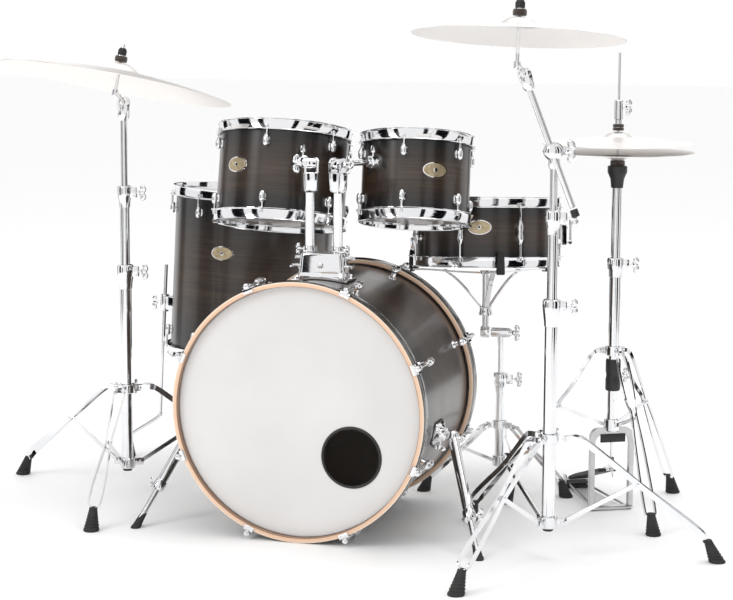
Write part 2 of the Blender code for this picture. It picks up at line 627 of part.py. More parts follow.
def crash_stand():
    pole = CRASH_POLE
    pieces = base_tube(pole, 0.069, STAND_JOINT_1, BASE_TUBE, MID_TUBE)
    pieces.append(tube(pole + UP * 0.067, pole + UP * 0.093, 0.0200, BASE_TUBE - 0.0010))
    pieces += fork(pole, STAND_LOW_COLLAR, 0.0145, CRASH_LEGS)
    pieces += collar(pole, STAND_COLLAR, BASE_TUBE - 0.0010, CRASH_LEGS)
    for angle in CRASH_LEGS:
        plane = upright(pole, angle)
        pieces += leg_pieces(pole, angle, STAND_LEG, 0.0060, STAND_FOOT)
        pieces.append(strip([(PIVOT_OUT, STAND_LOW_COLLAR), RIVET], 0.0050, -0.0040, 0.0040, plane))
        pieces.append(box((0.012, 0.011, 0.010), plane @ Matrix.Translation((PIVOT_OUT + 0.002, 0.0, STAND_COLLAR))))
    build("crash_base_tube", CHROME, pieces)
    telescope("crash", pole, STAND_JOINT_2)

    top = rod(pole + UP * 0.575, pole + UP * 0.874, TOP_TUBE)
    back = CRASH_BALL + Vector((0.0, 0.0120, 0.0))
    front = CRASH_BALL + Vector((0.0, -0.0090, 0.0))
    build("crash_upper_tube", CHROME, [top, rod(back, front, 0.0200, 14)])

    pivot = Vector((CRASH_BALL.x, CRASH_PIVOT.y, CRASH_BALL.z))
    heading = (CRASH_PIVOT - pivot).normalized()
    clamp = rod(CRASH_BALL + Vector((0.0, -0.0094, 0.0)), pivot - Vector((0.0, 0.011, 0.0)), 0.0200, 14)
    shaft = rod(pivot - heading * 0.126, pivot + heading * 0.152, 0.0068, 10)
    cheeks = [box((0.018, 0.0045, 0.034), aim(CRASH_PIVOT, heading) @ Matrix.Translation((0.0, s * 0.0137, -0.004)))
              for s in (-1.0, 1.0)]
    block = box((0.020, 0.032, 0.014), aim(CRASH_PIVOT, heading) @ Matrix.Translation((0.0, 0.0, -0.0225)))
    build("crash_boom_arm", CHROME, [shaft, clamp, block] + cheeks, origin=pivot)
    base = CRASH_PIVOT + Vector((-0.0165, 0.006, 0.0165))
    cymbal_tilter("crash_tilter", CRASH_PIVOT, aim(CRASH_PIVOT, heading), base, CRASH_NORMAL, 0.060, 0.042)
    cymbal("crash_cymbal", base + CRASH_NORMAL * 0.060, CRASH_NORMAL, CRASH_RADIUS, 0.042, 0.052)


def aim(spot, heading):
    """Local Z along the heading, local Y level."""
    level = Vector((0.0, 1.0, 0.0))
    across = level.cross(heading).normalized()
    return Matrix.Translation(spot) @ Matrix((across, level, heading)).transposed().to_4x4()


# ---- hi-hat ------------------------------------------------------------------------------
HAT_COLLAR = 0.385
HAT_HUB = 0.205
HAT_JOINT = (0.560, 0.606)
HAT_LEG = [(0.030, 0.385), (0.052, 0.372), (0.100, 0.292), (0.135, 0.240), (0.226, 0.062), (0.236, 0.048)]
HAT_FOOT = (0.254, 0.238, 0.048)
HAT_BRACE = [(0.0150, 0.206), (0.128, 0.245)]
HAT_FRAME_HALF = 0.054
TOE = 0.012
HEEL = 0.250


def hi_hat():
    pole = HAT_POLE
    plane = upright(pole, FOOTBOARD_ANGLE)
    pieces = base_tube(pole, 0.190, HAT_JOINT, BASE_TUBE - 0.0006, MID_TUBE)
    pieces += collar(pole, HAT_COLLAR, BASE_TUBE - 0.0016, HAT_LEGS)
    pieces += collar(pole, HAT_HUB, BASE_TUBE - 0.0016, HAT_LEGS, ears=False, half=0.014)
    pieces.append(tube(pole + UP * 0.290, pole + UP * 0.365, 0.0175, BASE_TUBE - 0.0016))
    for angle in HAT_LEGS:
        pieces += leg_pieces(pole, angle, HAT_LEG, 0.0045, HAT_FOOT)
        side = upright(pole, angle)
        pieces.append(strip(HAT_BRACE, 0.0045, -0.0042, 0.0042, side))
        pieces.append(box((0.012, 0.011, 0.008), side @ Matrix.Translation((0.031, 0.0, HAT_COLLAR))))
    top_bar = box((0.018, 2.0 * HAT_FRAME_HALF, 0.016), plane @ Matrix.Translation((0.0, 0.0, 0.192)))
    top_bar_hole = rod(pole + UP * 0.15, pole + UP * 0.30, 0.0060, 10)
    pieces.append(top_bar)
    for s in (-1.0, 1.0):
        pieces.append(box((0.014, 0.010, 0.188), plane @ Matrix.Translation((0.0, s * (HAT_FRAME_HALF - 0.0065), 0.101))))
        start = plane @ Vector((0.0, s * 0.040, 0.0075))
        end = plane @ Vector((HEEL - 0.010, s * 0.022, 0.0100))
        pieces.append(rod(start, end, 0.0030, 8))
    pieces.append(box((0.020, 2.0 * HAT_FRAME_HALF, 0.008), plane @ Matrix.Translation((0.0, 0.0, 0.006))))
    pieces.append(box((0.070, 0.074, 0.012), plane @ Matrix.Translation((HEEL + 0.010, 0.0, 0.0075))))
    for s in (-1.0, 1.0):
        pieces.append(box((0.016, 0.006, 0.028), plane @ Matrix.Translation((HEEL - 0.016, s * 0.0345, 0.0220))))
    build("hihat_base_stand", CHROME, pieces, [top_bar_hole])

    heel = plane @ Vector((HEEL - 0.016, 0.0, 0.0260))
    board = strip([(TOE, 0.094), (HEEL - 0.070, 0.046), (HEEL - 0.016, 0.026)], 0.0040, -0.026, 0.026, plane)
    hinge = rod(heel + plane.to_3x3() @ Vector((0.0, -0.030, 0.0)),
                heel + plane.to_3x3() @ Vector((0.0, 0.030, 0.0)), 0.0065, 10)
    build("hihat_footboard", CHROME, [board, hinge], origin=heel)

    inner = MID_TUBE - TUBE_WALL
    seat = [(inner, 0.770), (MID_TUBE + 0.0030, 0.770), (MID_TUBE + 0.0050, 0.790), (0.0210, 0.802),
            (0.0230, 0.821), (inner, 0.821)]
    felt = [(0.0050, 0.8205), (0.0170, 0.8205), (0.0170, 0.834), (0.0050, 0.834)]
    upper = tube(pole + UP * 0.420, pole + UP * 0.800, MID_TUBE, inner)
    build("hihat_upper_tube", CHROME, [upper, turned(seat, 12, Matrix.Translation(pole)),
                                       turned(felt, 12, Matrix.Translation(pole))])
    cymbal("hihat_cymbal_bottom", pole + UP * BOTTOM_HAT_EDGE, -UP, HAT_RADIUS, 0.018, 0.040)
    pull = [rod(pole + UP * 0.075, pole + UP * 1.085, 0.0030, 8),
            rod(pole + UP * 0.075, pole + UP * 0.100, 0.0055, 8),
            rod(pole + UP * 0.8830, pole + UP * 0.8860, 0.0110, 10),
            rod(pole + UP * 0.9035, pole + UP * 0.9180, 0.0130, 12),
            rod(pole + UP * 0.9170, pole + UP * 0.9300, 0.0080, 10),
            rod(pole + UP * 0.9290, pole + UP * 0.9740, 0.0105, 10)]
    build("hihat_pull_rod", CHROME, pull)
    cymbal("hihat_cymbal_top", pole + UP * TOP_HAT_EDGE, UP, HAT_RADIUS, 0.027, 0.040)


def snare_stand():
    pole = SNARE_POLE
    leg = [(0.026, 0.155), (0.050, 0.146), (0.092, 0.108), (0.176, 0.046), (0.186, 0.036)]
    small, bore = 0.0127, 0.0095
    pieces = [tube(pole + UP * 0.052, pole + UP * 0.255, small, small - TUBE_WALL),
              stage_casting(pole, 0.236, 0.286, small, bore + 0.0006),
              tube(pole + UP * 0.050, pole + UP * 0.076, 0.0175, small - 0.0010)]
    pieces += collar(pole, 0.155, small - 0.0010, SNARE_LEGS)
    for angle in SNARE_LEGS:
        plane = upright(pole, angle)
        pieces += leg_pieces(pole, angle, leg, 0.0045, (0.204, 0.188, 0.040), 0.0175)
        pieces.append(strip([(0.012, 0.063), (0.100, 0.102)], 0.0040, -0.0042, 0.0042, plane))
        pieces.append(box((0.012, 0.011, 0.008), plane @ Matrix.Translation((0.027, 0.0, 0.155))))
    build("snare_stand_base", CHROME, pieces)

    joint, top, heading = snare_joint()
    shaft = rod(pole + UP * 0.100, top - UP * 0.002, bore)
    bar = rod(top - heading * 0.018, joint - heading * 0.0150, 0.0130, 10)
    cheeks_frame = Matrix.Translation(joint) @ heading.to_track_quat("Y", "Z").to_matrix().to_4x4()
    stop = box((0.020, 0.0045, 0.022), cheeks_frame @ Matrix.Translation((0.0, -0.0142, 0.0)))
    build("snare_stand_tube", CHROME, [shaft, bar, stop])


bass_drum()
spur("spur_left", -1.0)
spur("spur_right", 1.0)
tom_mount()
tom_post_and_arm("large", TOM_LARGE, -1.0)
tom_post_and_arm("small", TOM_SMALL, 1.0)
tom("large", TOM_LARGE, -1.0)
tom("small", TOM_SMALL, 1.0)
floor_tom()
snare_drum()
snare_basket()
snare_stand()
ride_stand()
crash_stand()
hi_hat()
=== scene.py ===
import math

import bmesh
import bpy
from mathutils import Matrix, Vector


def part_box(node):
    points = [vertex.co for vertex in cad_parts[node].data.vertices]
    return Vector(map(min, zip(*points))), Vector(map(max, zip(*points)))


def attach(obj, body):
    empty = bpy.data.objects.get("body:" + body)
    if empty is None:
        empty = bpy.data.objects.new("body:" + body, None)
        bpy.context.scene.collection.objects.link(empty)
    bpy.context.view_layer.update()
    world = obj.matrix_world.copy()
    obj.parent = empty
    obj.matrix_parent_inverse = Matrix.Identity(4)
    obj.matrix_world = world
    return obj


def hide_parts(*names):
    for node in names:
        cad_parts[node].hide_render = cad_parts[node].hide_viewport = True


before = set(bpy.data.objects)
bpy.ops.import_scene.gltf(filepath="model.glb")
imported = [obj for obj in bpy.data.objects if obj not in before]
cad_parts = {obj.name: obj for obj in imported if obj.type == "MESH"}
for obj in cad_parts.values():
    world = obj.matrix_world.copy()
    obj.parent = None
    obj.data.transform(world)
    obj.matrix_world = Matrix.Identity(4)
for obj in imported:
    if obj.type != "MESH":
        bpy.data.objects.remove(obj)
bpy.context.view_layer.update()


# ---- studio ------------------------------------------------------------------------------
# A plain pale floor under soft light, seen from low in front. Black cards stand in a ring round
# it that only reflections can see, and they give the chrome its dark lines.
class Wire:
    """A node's output. A sum written on it becomes Math nodes."""

    def __init__(self, net, socket):
        self.net, self.socket = net, socket

    def math(self, operation, first, second):
        return self.net.node("ShaderNodeMath", {"operation": operation}, {0: first, 1: second})

    def __add__(self, other):
        return self.math("ADD", self, other)

    def __sub__(self, other):
        return self.math("SUBTRACT", self, other)

    def __rsub__(self, other):
        return self.math("SUBTRACT", other, self)

    def __mul__(self, other):
        return self.math("MULTIPLY", self, other)

    def __truediv__(self, other):
        return self.math("DIVIDE", self, other)

    __radd__, __rmul__ = __add__, __mul__


class Net:
    """A node tree being wired: node() makes every node in it."""

    def __init__(self, tree):
        self.tree = tree

    def node(self, kind, settings=None, inputs=None, output=0):
        made = self.tree.nodes.new(kind)
        for key, value in (settings or {}).items():
            if key == "stops":
                self.set_stops(made.color_ramp.elements, value)
            else:
                setattr(made, key, value)
        for key, value in (inputs or {}).items():
            self.feed(made.inputs[key], value)
        return Wire(self, made.outputs[output])

    def set_stops(self, elements, stops):
        elements.remove(elements[1])
        elements[0].position, elements[0].color = stops[0][0], (*stops[0][1], 1.0)
        for position, colour in stops[1:]:
            elements.new(position).color = (*colour, 1.0)

    def feed(self, socket, value):
        if isinstance(value, Wire):
            self.tree.links.new(value.socket, socket)
        else:
            socket.default_value = value


scene = bpy.context.scene
scene.view_settings.view_transform = "Standard"
VIEW_TURN, VIEW_PITCH, VIEW_ROLL = math.radians(16.535), math.radians(82.068), math.radians(0.276)
camera = bpy.data.objects.new("camera", bpy.data.cameras.new("camera"))
camera.data.lens, camera.data.sensor_width, camera.data.clip_end = 100.81, 36.0, 200.0
camera.location = (1.4004, -4.5837, 1.169)
camera.rotation_euler = (Matrix.Rotation(VIEW_TURN, 3, "Z") @ Matrix.Rotation(VIEW_PITCH, 3, "X")
                         @ Matrix.Rotation(VIEW_ROLL, 3, "Z")).to_euler()
scene.collection.objects.link(camera)
scene.camera = camera

scene.world = bpy.data.worlds.new("studio")
scene.world.use_nodes = True
sky = Net(scene.world.node_tree)
SKY_LIGHT = 1.0
sky.feed(scene.world.node_tree.nodes["Background"].inputs["Strength"], SKY_LIGHT)
sky.feed(scene.world.node_tree.nodes["Background"].inputs["Color"], (1.0, 1.0, 1.0, 1.0))

CARD_RING, CARD_TALL = 3.4, 4.0
CARDS = ((-150.0, 0.75), (-118.0, 0.30), (-56.0, 0.26), (-22.0, 0.80), (24.0, 0.50), (70.0, 0.35),
         (112.0, 0.60), (160.0, 0.45))
ink = bpy.data.materials.new("black_card")
ink.use_nodes = True
ink.node_tree.nodes["Principled BSDF"].inputs["Base Color"].default_value = (0.004, 0.004, 0.005, 1.0)
ink.node_tree.nodes["Principled BSDF"].inputs["Specular IOR Level"].default_value = 0.0
for number, (bearing, half_wide) in enumerate(CARDS, 1):
    turn = math.radians(bearing)
    out, along = Vector((math.cos(turn), math.sin(turn), 0.0)), Vector((-math.sin(turn), math.cos(turn), 0.0))
    corners = [out * CARD_RING + along * half_wide * side + Vector((0.0, 0.0, tall)) for side, tall in (
        (-1.0, 0.0), (1.0, 0.0), (1.0, CARD_TALL), (-1.0, CARD_TALL))]
    card_mesh = bpy.data.meshes.new("card_%d" % number)
    card_mesh.from_pydata(corners, [], [(0, 1, 2, 3)])
    card_mesh.materials.append(ink)
    card = bpy.data.objects.new("card_%d" % number, card_mesh)
    card.visible_camera = card.visible_diffuse = card.visible_shadow = False
    scene.collection.objects.link(card)


def soft_box(name, spot, size, power):
    lamp = bpy.data.lights.new(name, "AREA")
    lamp.shape, lamp.size, lamp.energy = "DISK", size, power
    holder = bpy.data.objects.new(name, lamp)
    holder.location = spot
    holder.rotation_euler = (Vector((0.0, 0.0, 0.5)) - Vector(spot)).to_track_quat("-Z", "Y").to_euler()
    scene.collection.objects.link(holder)


soft_box("key_light", (-2.6, -3.4, 3.4), 2.2, 60.0)
soft_box("top_light", (0.8, 0.6, 4.6), 3.0, 60.0)


def finish(name, roughness, metallic=0.0, constants=None):
    """A new material's net. What is the same all over goes straight on the shader's sockets."""
    made = bpy.data.materials.new(name)
    made.use_nodes = True
    net = Net(made.node_tree)
    net.material, net.shader = made, made.node_tree.nodes["Principled BSDF"].inputs
    for socket, value in {"Roughness": roughness, "Metallic": metallic, **(constants or {})}.items():
        net.shader[socket].default_value = value
    net.spot = net.node("ShaderNodeTexCoord", output="Object")
    return net


def cloud(net, scale, detail=3.0, spot=None, stretch=(1.0, 1.0, 1.0)):
    """Soft random variation, 0 to 1, which stretch can draw out into grain."""
    where = net.node("ShaderNodeVectorMath", {"operation": "MULTIPLY"}, {0: spot or net.spot, 1: stretch})
    return net.node("ShaderNodeTexNoise", inputs={"Vector": where, "Scale": scale, "Detail": detail})


def ramp(net, value, *stops):
    return net.node("ShaderNodeValToRGB", {"stops": stops}, {0: value})


def colour_mix(net, factor, first, second):
    return net.node("ShaderNodeMix", {"data_type": "RGBA"}, {0: factor, 6: first, 7: second}, output=2)


def relief(net, height, depth, strength=1.0):
    """Raises the surface by height times depth in metres."""
    net.feed(net.shader["Normal"], net.node("ShaderNodeBump", inputs={
        "Strength": strength, "Distance": depth, "Height": height}, output="Normal"))


paper = finish("pale_floor", 0.6)
paper.feed(paper.shader["Base Color"], ramp(paper, cloud(paper, 0.7), (0.0, (0.955,) * 3),
                                            (1.0, (0.965,) * 3)))
FLOOR_REACH = 30.0
floor_mesh = bpy.data.meshes.new("floor")
floor_mesh.from_pydata([(x * FLOOR_REACH, y * FLOOR_REACH, 0.0) for x,
                        y in ((-1, -1), (1, -1), (1, 1), (-1, 1))],
                       [], [(0, 1, 2, 3)])
floor_mesh.materials.append(paper.material)
floor = bpy.data.objects.new("floor", floor_mesh)
scene.collection.objects.link(floor)


# ---- bass drum shell ---------------------------------------------------------------------
# A wide maple ply shell lying on its side, satin lacquered: a brown grain that fades to black
# at both ends. Sizes below are from the floor under the middle of its front hoop.
class Piece:
    """A piece on the bench: its mesh so far, and the finishes that its faces may take."""

    def __init__(self, name, *finishes):
        self.name, self.bm = name, bmesh.new()
        self.finishes = [net.material for net in finishes]


hoop_low, hoop_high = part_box("bass_hoop_front")
KIT = Matrix.Translation(((hoop_low[0] + hoop_high[0]) / 2.0, hoop_low[1], 0.0))
UP = Vector((0.0, 0.0, 1.0))
BASS_R, BASS_WALL, BASS_START, BASS_END = 0.2794, 0.0075, 0.0164, 0.4736
BASS_AXIS = 0.2935
BASS = Matrix.Translation((0.0, 0.0, BASS_AXIS)) @ Matrix.Rotation(math.radians(-90.0), 4, "X")


def skin(piece, rings, loop=False, finish=0):
    """A closed skin through rings of points; a ring of one point is a tip."""
    bm = piece.bm
    rows = [[bm.verts.new(p) for p in ring] for ring in rings]
    faces = []
    for low, high in list(zip(rows, rows[1:])) + ([(rows[-1], rows[0])] if loop else []):
        count = max(len(low), len(high))
        for i in range(count):
            j = (i + 1) % count
            corners = [low[i % len(low)], low[j % len(low)], high[j % len(high)], high[i % len(high)]]
            faces.append(bm.faces.new(list(dict.fromkeys(corners))))
    if not loop:
        faces += [bm.faces.new(row) for row in (rows[0], rows[-1]) if len(row) > 2]
    bmesh.ops.recalc_face_normals(bm, faces=faces)
    for face in faces:
        face.material_index = finish
    return faces


def lathe(piece, profile, place, sides=48, finish=0, bands=None):
    """Turns (radius, height) points about local Z. bands gives single steps of it other finishes."""
    step = 2.0 * math.pi / sides
    rings = [[place @ Vector((r * math.cos(step * i), r * math.sin(step * i), z)) for i in range(sides)]
             if r > 0.0 else [place @ Vector((0.0, 0.0, z))] for r, z in profile]
    faces = skin(piece, rings, loop=min(r for r, z in profile) > 0.0, finish=finish)
    for band, other in (bands or {}).items():
        for face in faces[band * sides:(band + 1) * sides]:
            face.material_index = other


def fit(piece, body, slot, *nodes):
    mesh = bpy.data.meshes.new(piece.name)
    piece.bm.transform(KIT)
    piece.bm.to_mesh(mesh)
    piece.bm.free()
    for material in piece.finishes:
        mesh.materials.append(material)
    mesh.shade_smooth()
    mesh.set_sharp_from_angle(angle=math.radians(34.0))
    made = bpy.data.objects.new(piece.name, mesh)
    scene.collection.objects.link(made)
    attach(made, body)
    if nodes:
        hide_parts(*nodes)
    return made


def drum_space(net, place):
    """The material's coordinates turned into a drum's own, with Z along its axis."""
    seat = KIT @ place
    turned = net.node("ShaderNodeMapping", {"vector_type": "TEXTURE"}, {
        "Vector": net.spot, "Location": seat.translation, "Rotation": seat.to_euler()})
    return turned, net.node("ShaderNodeSeparateXYZ", inputs={0: turned}, output=2)


def burst(name, place, half, middle=0.0):
    """Satin lacquer over maple: brown grain round the middle, black towards both edges."""
    net = finish(name, 0.3, constants={"Coat Roughness": 0.16, "Coat Weight": 0.45})
    spot, height = drum_space(net, place)
    grain = cloud(net, 1.0, 6.0, spot, (7.0, 7.0, 210.0)) * 0.6 + cloud(net, 1.0, 3.0, spot,
        (3.0, 3.0, 34.0)) * 0.4
    wood = ramp(net, grain, (0.30, (0.014, 0.008, 0.005)), (0.50, (0.034, 0.020, 0.012)),
                (0.74, (0.072, 0.044, 0.027)))
    off = (height - middle).math("ABSOLUTE", height - middle, 0.0) / half
    edge = net.node("ShaderNodeMapRange", {"interpolation_type": "SMOOTHSTEP"},
                    {0: off + (grain - 0.5) * 0.16, 1: 0.22, 2: 0.86})
    net.feed(net.shader["Base Color"], colour_mix(net, edge, wood, (0.006, 0.0055, 0.006, 1.0)))
    net.feed(net.shader["Roughness"], 0.25 + cloud(net, 14.0) * 0.14)
    relief(net, grain, 0.00012, 0.5)
    return net


def bare_maple(name, place):
    """The unlacquered inside of a shell."""
    net = finish(name, 0.55)
    spot, height = drum_space(net, place)
    grain = cloud(net, 1.0, 6.0, spot, (5.0, 5.0, 160.0))
    net.feed(net.shader["Base Color"], ramp(net, grain, (0.3, (0.20, 0.105, 0.052)),
                                            (0.7, (0.40, 0.245, 0.135))))
    relief(net, grain, 0.0002, 0.6)
    return net


BASS_HALF, BASS_MIDDLE = (BASS_END - BASS_START) / 2.0, (BASS_END + BASS_START) / 2.0
shell = Piece("bass_drum_shell", burst("bass_burst", BASS, BASS_HALF, BASS_MIDDLE),
              bare_maple("bass_inside", BASS))
BASS_BORE = BASS_R - BASS_WALL
lathe(shell, [(BASS_BORE, BASS_START + 0.003), (BASS_R - 0.003, BASS_START), (BASS_R, BASS_START + 0.002),
              (BASS_R, BASS_END - 0.002), (BASS_R - 0.003, BASS_END), (BASS_BORE, BASS_END - 0.003)],
      BASS, 128, bands={0: 1, 4: 1, 5: 1})
fit(shell, "kit", "lacquered_wood", "bass_shell")


# ---- bass drum hoops ---------------------------------------------------------------------
# Two bent maple hoops that pull the heads over the shell. Their flat faces are clear maple with painted
# shade at the head and a painted highlight at the outer edge, and their outer rims are lacquered like the shell.
HOOP_R, HOOP_BORE, HOOP_WIDTH, BASS_LONG = 0.2935, 0.2822, 0.038, 0.490
maple = finish("hoop_maple", 0.33, constants={"Coat Weight": 0.4, "Coat Roughness": 0.15})
hoop_spot, hoop_depth = drum_space(maple, BASS)
reach = maple.node("ShaderNodeVectorMath", {"operation": "LENGTH"}, {
    0: maple.node("ShaderNodeVectorMath", {"operation": "MULTIPLY"}, {0: hoop_spot, 1: (1.0, 1.0, 0.0)})},
    "Value")
step = (reach - HOOP_BORE) / (HOOP_R - HOOP_BORE)
lines = maple.node("ShaderNodeCombineXYZ", inputs={0: reach * 900.0, 1: hoop_depth * 260.0, 2: 0.0})
fibre = maple.node("ShaderNodeTexNoise", inputs={"Vector": maple.node("ShaderNodeVectorMath",
    {"operation": "ADD"}, {
    0: lines, 1: maple.node("ShaderNodeVectorMath", {"operation": "MULTIPLY"},
                            {0: hoop_spot, 1: (9.0,) * 3})}),
    "Scale": 1.0, "Detail": 4.0})
# Painted light: the tone is dark at the bore, where the hoop meets the head, as painted shade, and pale at the outer
# edge as a painted highlight; the fibre noise is the maple's own grain.
tone = ramp(maple, step + (fibre - 0.5) * 0.22, (0.0, (0.26, 0.135, 0.070)), (0.09, (0.38, 0.215, 0.125)),
            (0.16, (0.74, 0.49, 0.335)), (0.70, (0.80, 0.56, 0.40)), (0.98, (0.93, 0.79, 0.65)))
maple.feed(maple.shader["Base Color"], tone)
maple.feed(maple.shader["Roughness"], 0.28 + fibre * 0.16)
relief(maple, fibre, 0.00015, 0.5)
rim_lacquer = finish("hoop_rim_lacquer", 0.22, constants={"Coat Weight": 0.6, "Coat Roughness": 0.08})
rim_spot = drum_space(rim_lacquer, BASS)[0]
rim_grain = cloud(rim_lacquer, 1.0, 5.0, rim_spot, (6.0, 6.0, 240.0))
rim_lacquer.feed(rim_lacquer.shader["Base Color"], ramp(rim_lacquer, rim_grain, (0.3, (0.008, 0.007, 0.007)),
                                                        (0.75, (0.034, 0.024, 0.018))))
relief(rim_lacquer, rim_grain, 0.0001, 0.4)
HOOP_EASE = 0.0022
for node, start in (("bass_hoop_front", 0.0), ("bass_hoop_rear", BASS_LONG - HOOP_WIDTH)):
    hoop = Piece(node + "_maple", maple, rim_lacquer)
    stop = start + HOOP_WIDTH
    lathe(hoop, [(HOOP_BORE, start + 0.001), (HOOP_BORE + 0.001, start), (HOOP_R - HOOP_EASE, start),
                 (HOOP_R - 0.0006, start + 0.0007), (HOOP_R, start + HOOP_EASE), (HOOP_R, stop - HOOP_EASE),
                 (HOOP_R - 0.0006, stop - 0.0007), (HOOP_R - HOOP_EASE, stop), (HOOP_BORE + 0.001, stop),
                 (HOOP_BORE, stop - 0.001)], BASS, 128, bands={4: 1, 3: 1, 5: 1})
    fit(hoop, "kit", "maple", node)


# ---- bass drum heads ---------------------------------------------------------------------
# Frosted plastic films on aluminium flesh rings. The front one has a round port near its
# lower right edge, bound with a black nylon ring.
FILM = 0.0010
PORT, PORT_R = Vector((0.124, 0.094, 0.0)), 0.066
frosted = finish("frosted_film", 0.5, constants={"Coat Weight": 0.12, "Coat Roughness": 0.35})
mottle = cloud(frosted, 5.0, 5.0)
frosted.feed(frosted.shader["Base Color"], ramp(frosted, mottle, (0.3, (0.665, 0.65, 0.64)),
                                                (0.7, (0.72, 0.708, 0.70))))
frosted.feed(frosted.shader["Roughness"], 0.46 + cloud(frosted, 30.0) * 0.14)
relief(frosted, cloud(frosted, 1400.0, 2.0), 0.00006, 0.6)
aluminium = finish("aluminium", 0.32, 1.0)
aluminium.feed(aluminium.shader["Base Color"], ramp(aluminium, cloud(aluminium, 20.0), (0.3, (0.60,) * 3),
                                                    (0.7, (0.72, 0.72, 0.73))))
aluminium.feed(aluminium.shader["Roughness"], 0.26 + cloud(aluminium, 60.0) * 0.16)
relief(aluminium, cloud(aluminium, 700.0, 2.0), 0.00008, 0.4)
nylon = finish("black_nylon", 0.45)
nylon.feed(nylon.shader["Base Color"], ramp(nylon, cloud(nylon, 25.0), (0.3, (0.012,) * 3),
                                            (0.7, (0.022, 0.021, 0.021))))
nylon.feed(nylon.shader["Roughness"], 0.38 + cloud(nylon, 50.0) * 0.18)
relief(nylon, cloud(nylon, 900.0, 2.0), 0.0001, 0.5)

front_film = Piece("bass_front_film", frosted, aluminium, nylon)
FILM_R, FILM_SIDES, FILM_FACE = 0.2796, 96, 0.0150
SHARES = (0.0, 0.25, 0.5, 0.75, 1.0)
film_rings = []
for depth, shares in ((FILM_FACE, SHARES), (FILM_FACE + FILM, SHARES[::-1])):
    for share in shares:
        radius = PORT_R + (FILM_R - PORT_R) * share
        film_rings.append([BASS @ (PORT * (1.0 - share) + Vector((
            radius * math.cos(2.0 * math.pi * i / FILM_SIDES),
            radius * math.sin(2.0 * math.pi * i / FILM_SIDES), depth)))
            for i in range(FILM_SIDES)])
skin(front_film, film_rings, loop=True)
FLESH_RING = [(0.2797, 0.0), (0.2800, -0.0012), (0.2814, -0.0012), (0.2818, 0.0), (0.2818, 0.008),
              (0.2800, 0.008)]
lathe(front_film, FLESH_RING, BASS @ Matrix.Translation((0.0, 0.0, 0.0146)), 128, 1)
lathe(front_film, [(0.0632, 0.0002), (0.0640, -0.0020), (0.0664, -0.0030), (0.0690, -0.0020), (0.0700, 0.0),
                   (0.0664, 0.0016)], BASS @ Matrix.Translation(PORT + UP * FILM_FACE), 72, 2)
fit(front_film, "kit", "drum_head", "bass_head_front")

rear_film = Piece("bass_batter_film", frosted, aluminium, nylon)
TURNED_ROUND = Matrix.Translation((0.0, 0.0, BASS_LONG)) @ Matrix.Rotation(math.pi, 4, "X")
lathe(rear_film, [(0.0, FILM_FACE), (0.12, FILM_FACE), (FILM_R, FILM_FACE), (FILM_R, FILM_FACE + FILM),
                  (0.12, FILM_FACE + FILM), (0.0, FILM_FACE + FILM)], BASS @ TURNED_ROUND, 96)
lathe(rear_film, FLESH_RING, BASS @ TURNED_ROUND @ Matrix.Translation((0.0, 0.0, 0.0146)), 128, 1)
fit(rear_film, "kit", "drum_head", "bass_head_batter")


# ---- bass drum lugs, rods and claws ------------------------------------------------------
# Eight bullet lugs at each end, chromed castings bolted through the shell. A tension rod runs
# from each lug to a bent claw that hooks over the hoop, with a square key head outside.
def tree_of(name, **inputs):
    """A new geometry tree with named inputs, and a wire from each."""
    tree = bpy.data.node_groups.new(name, "GeometryNodeTree")
    tree.interface.new_socket("Geometry", in_out="INPUT", socket_type="NodeSocketGeometry")
    for label, kind in inputs.items():
        tree.interface.new_socket(label, in_out="INPUT", socket_type="NodeSocket" + kind)
    tree.interface.new_socket("Geometry", in_out="OUTPUT", socket_type="NodeSocketGeometry")
    net = Net(tree)
    entry = tree.nodes.new("NodeGroupInput")
    return net, {label: Wire(net, entry.outputs[label]) for label in inputs}


def set_out(net, at, turn, scale, given):
    """Ends a tree: one fitting at each point, made real and given its finish."""
    index_points = net.node("GeometryNodePoints", inputs={"Count": given["Count"], "Position": at})
    fitting = net.node("GeometryNodeObjectInfo", inputs={"Object": given["Fitting"]}, output="Geometry")
    rotation = net.node("FunctionNodeEulerToRotation", inputs={
        0: net.node("ShaderNodeCombineXYZ", inputs={0: 0.0, 1: 0.0, 2: turn})})
    copies = net.node("GeometryNodeInstanceOnPoints", inputs={
        "Points": index_points, "Instance": fitting, "Rotation": rotation, "Scale": scale})
    real = net.node("GeometryNodeRealizeInstances", inputs={0: copies})
    done = net.node("GeometryNodeSetMaterial", inputs={"Geometry": real, "Material": given["Finish"]})
    exit_node = net.tree.nodes.new("NodeGroupOutput")
    net.feed(exit_node.inputs[0], done)


def ring_tree():
    """Fittings spaced round a circle, each turned to face outwards."""
    net, given = tree_of("fittings_round_a_drum", Fitting="Object", Count="Int", Radius="Float",
                         First="Float",
                         Height="Float", Finish="Material")
    number = net.node("GeometryNodeInputIndex")
    turn = given["First"] + number * (2.0 * math.pi) / given["Count"]
    at = net.node("ShaderNodeCombineXYZ", inputs={0: turn.math("COSINE", turn, 0.0) * given["Radius"],
                                                  1: turn.math("SINE", turn, 0.0) * given["Radius"],
                                                  2: given["Height"]})
    set_out(net, at, turn, (1.0, 1.0, 1.0), given)
    return net.tree


RING = ring_tree()


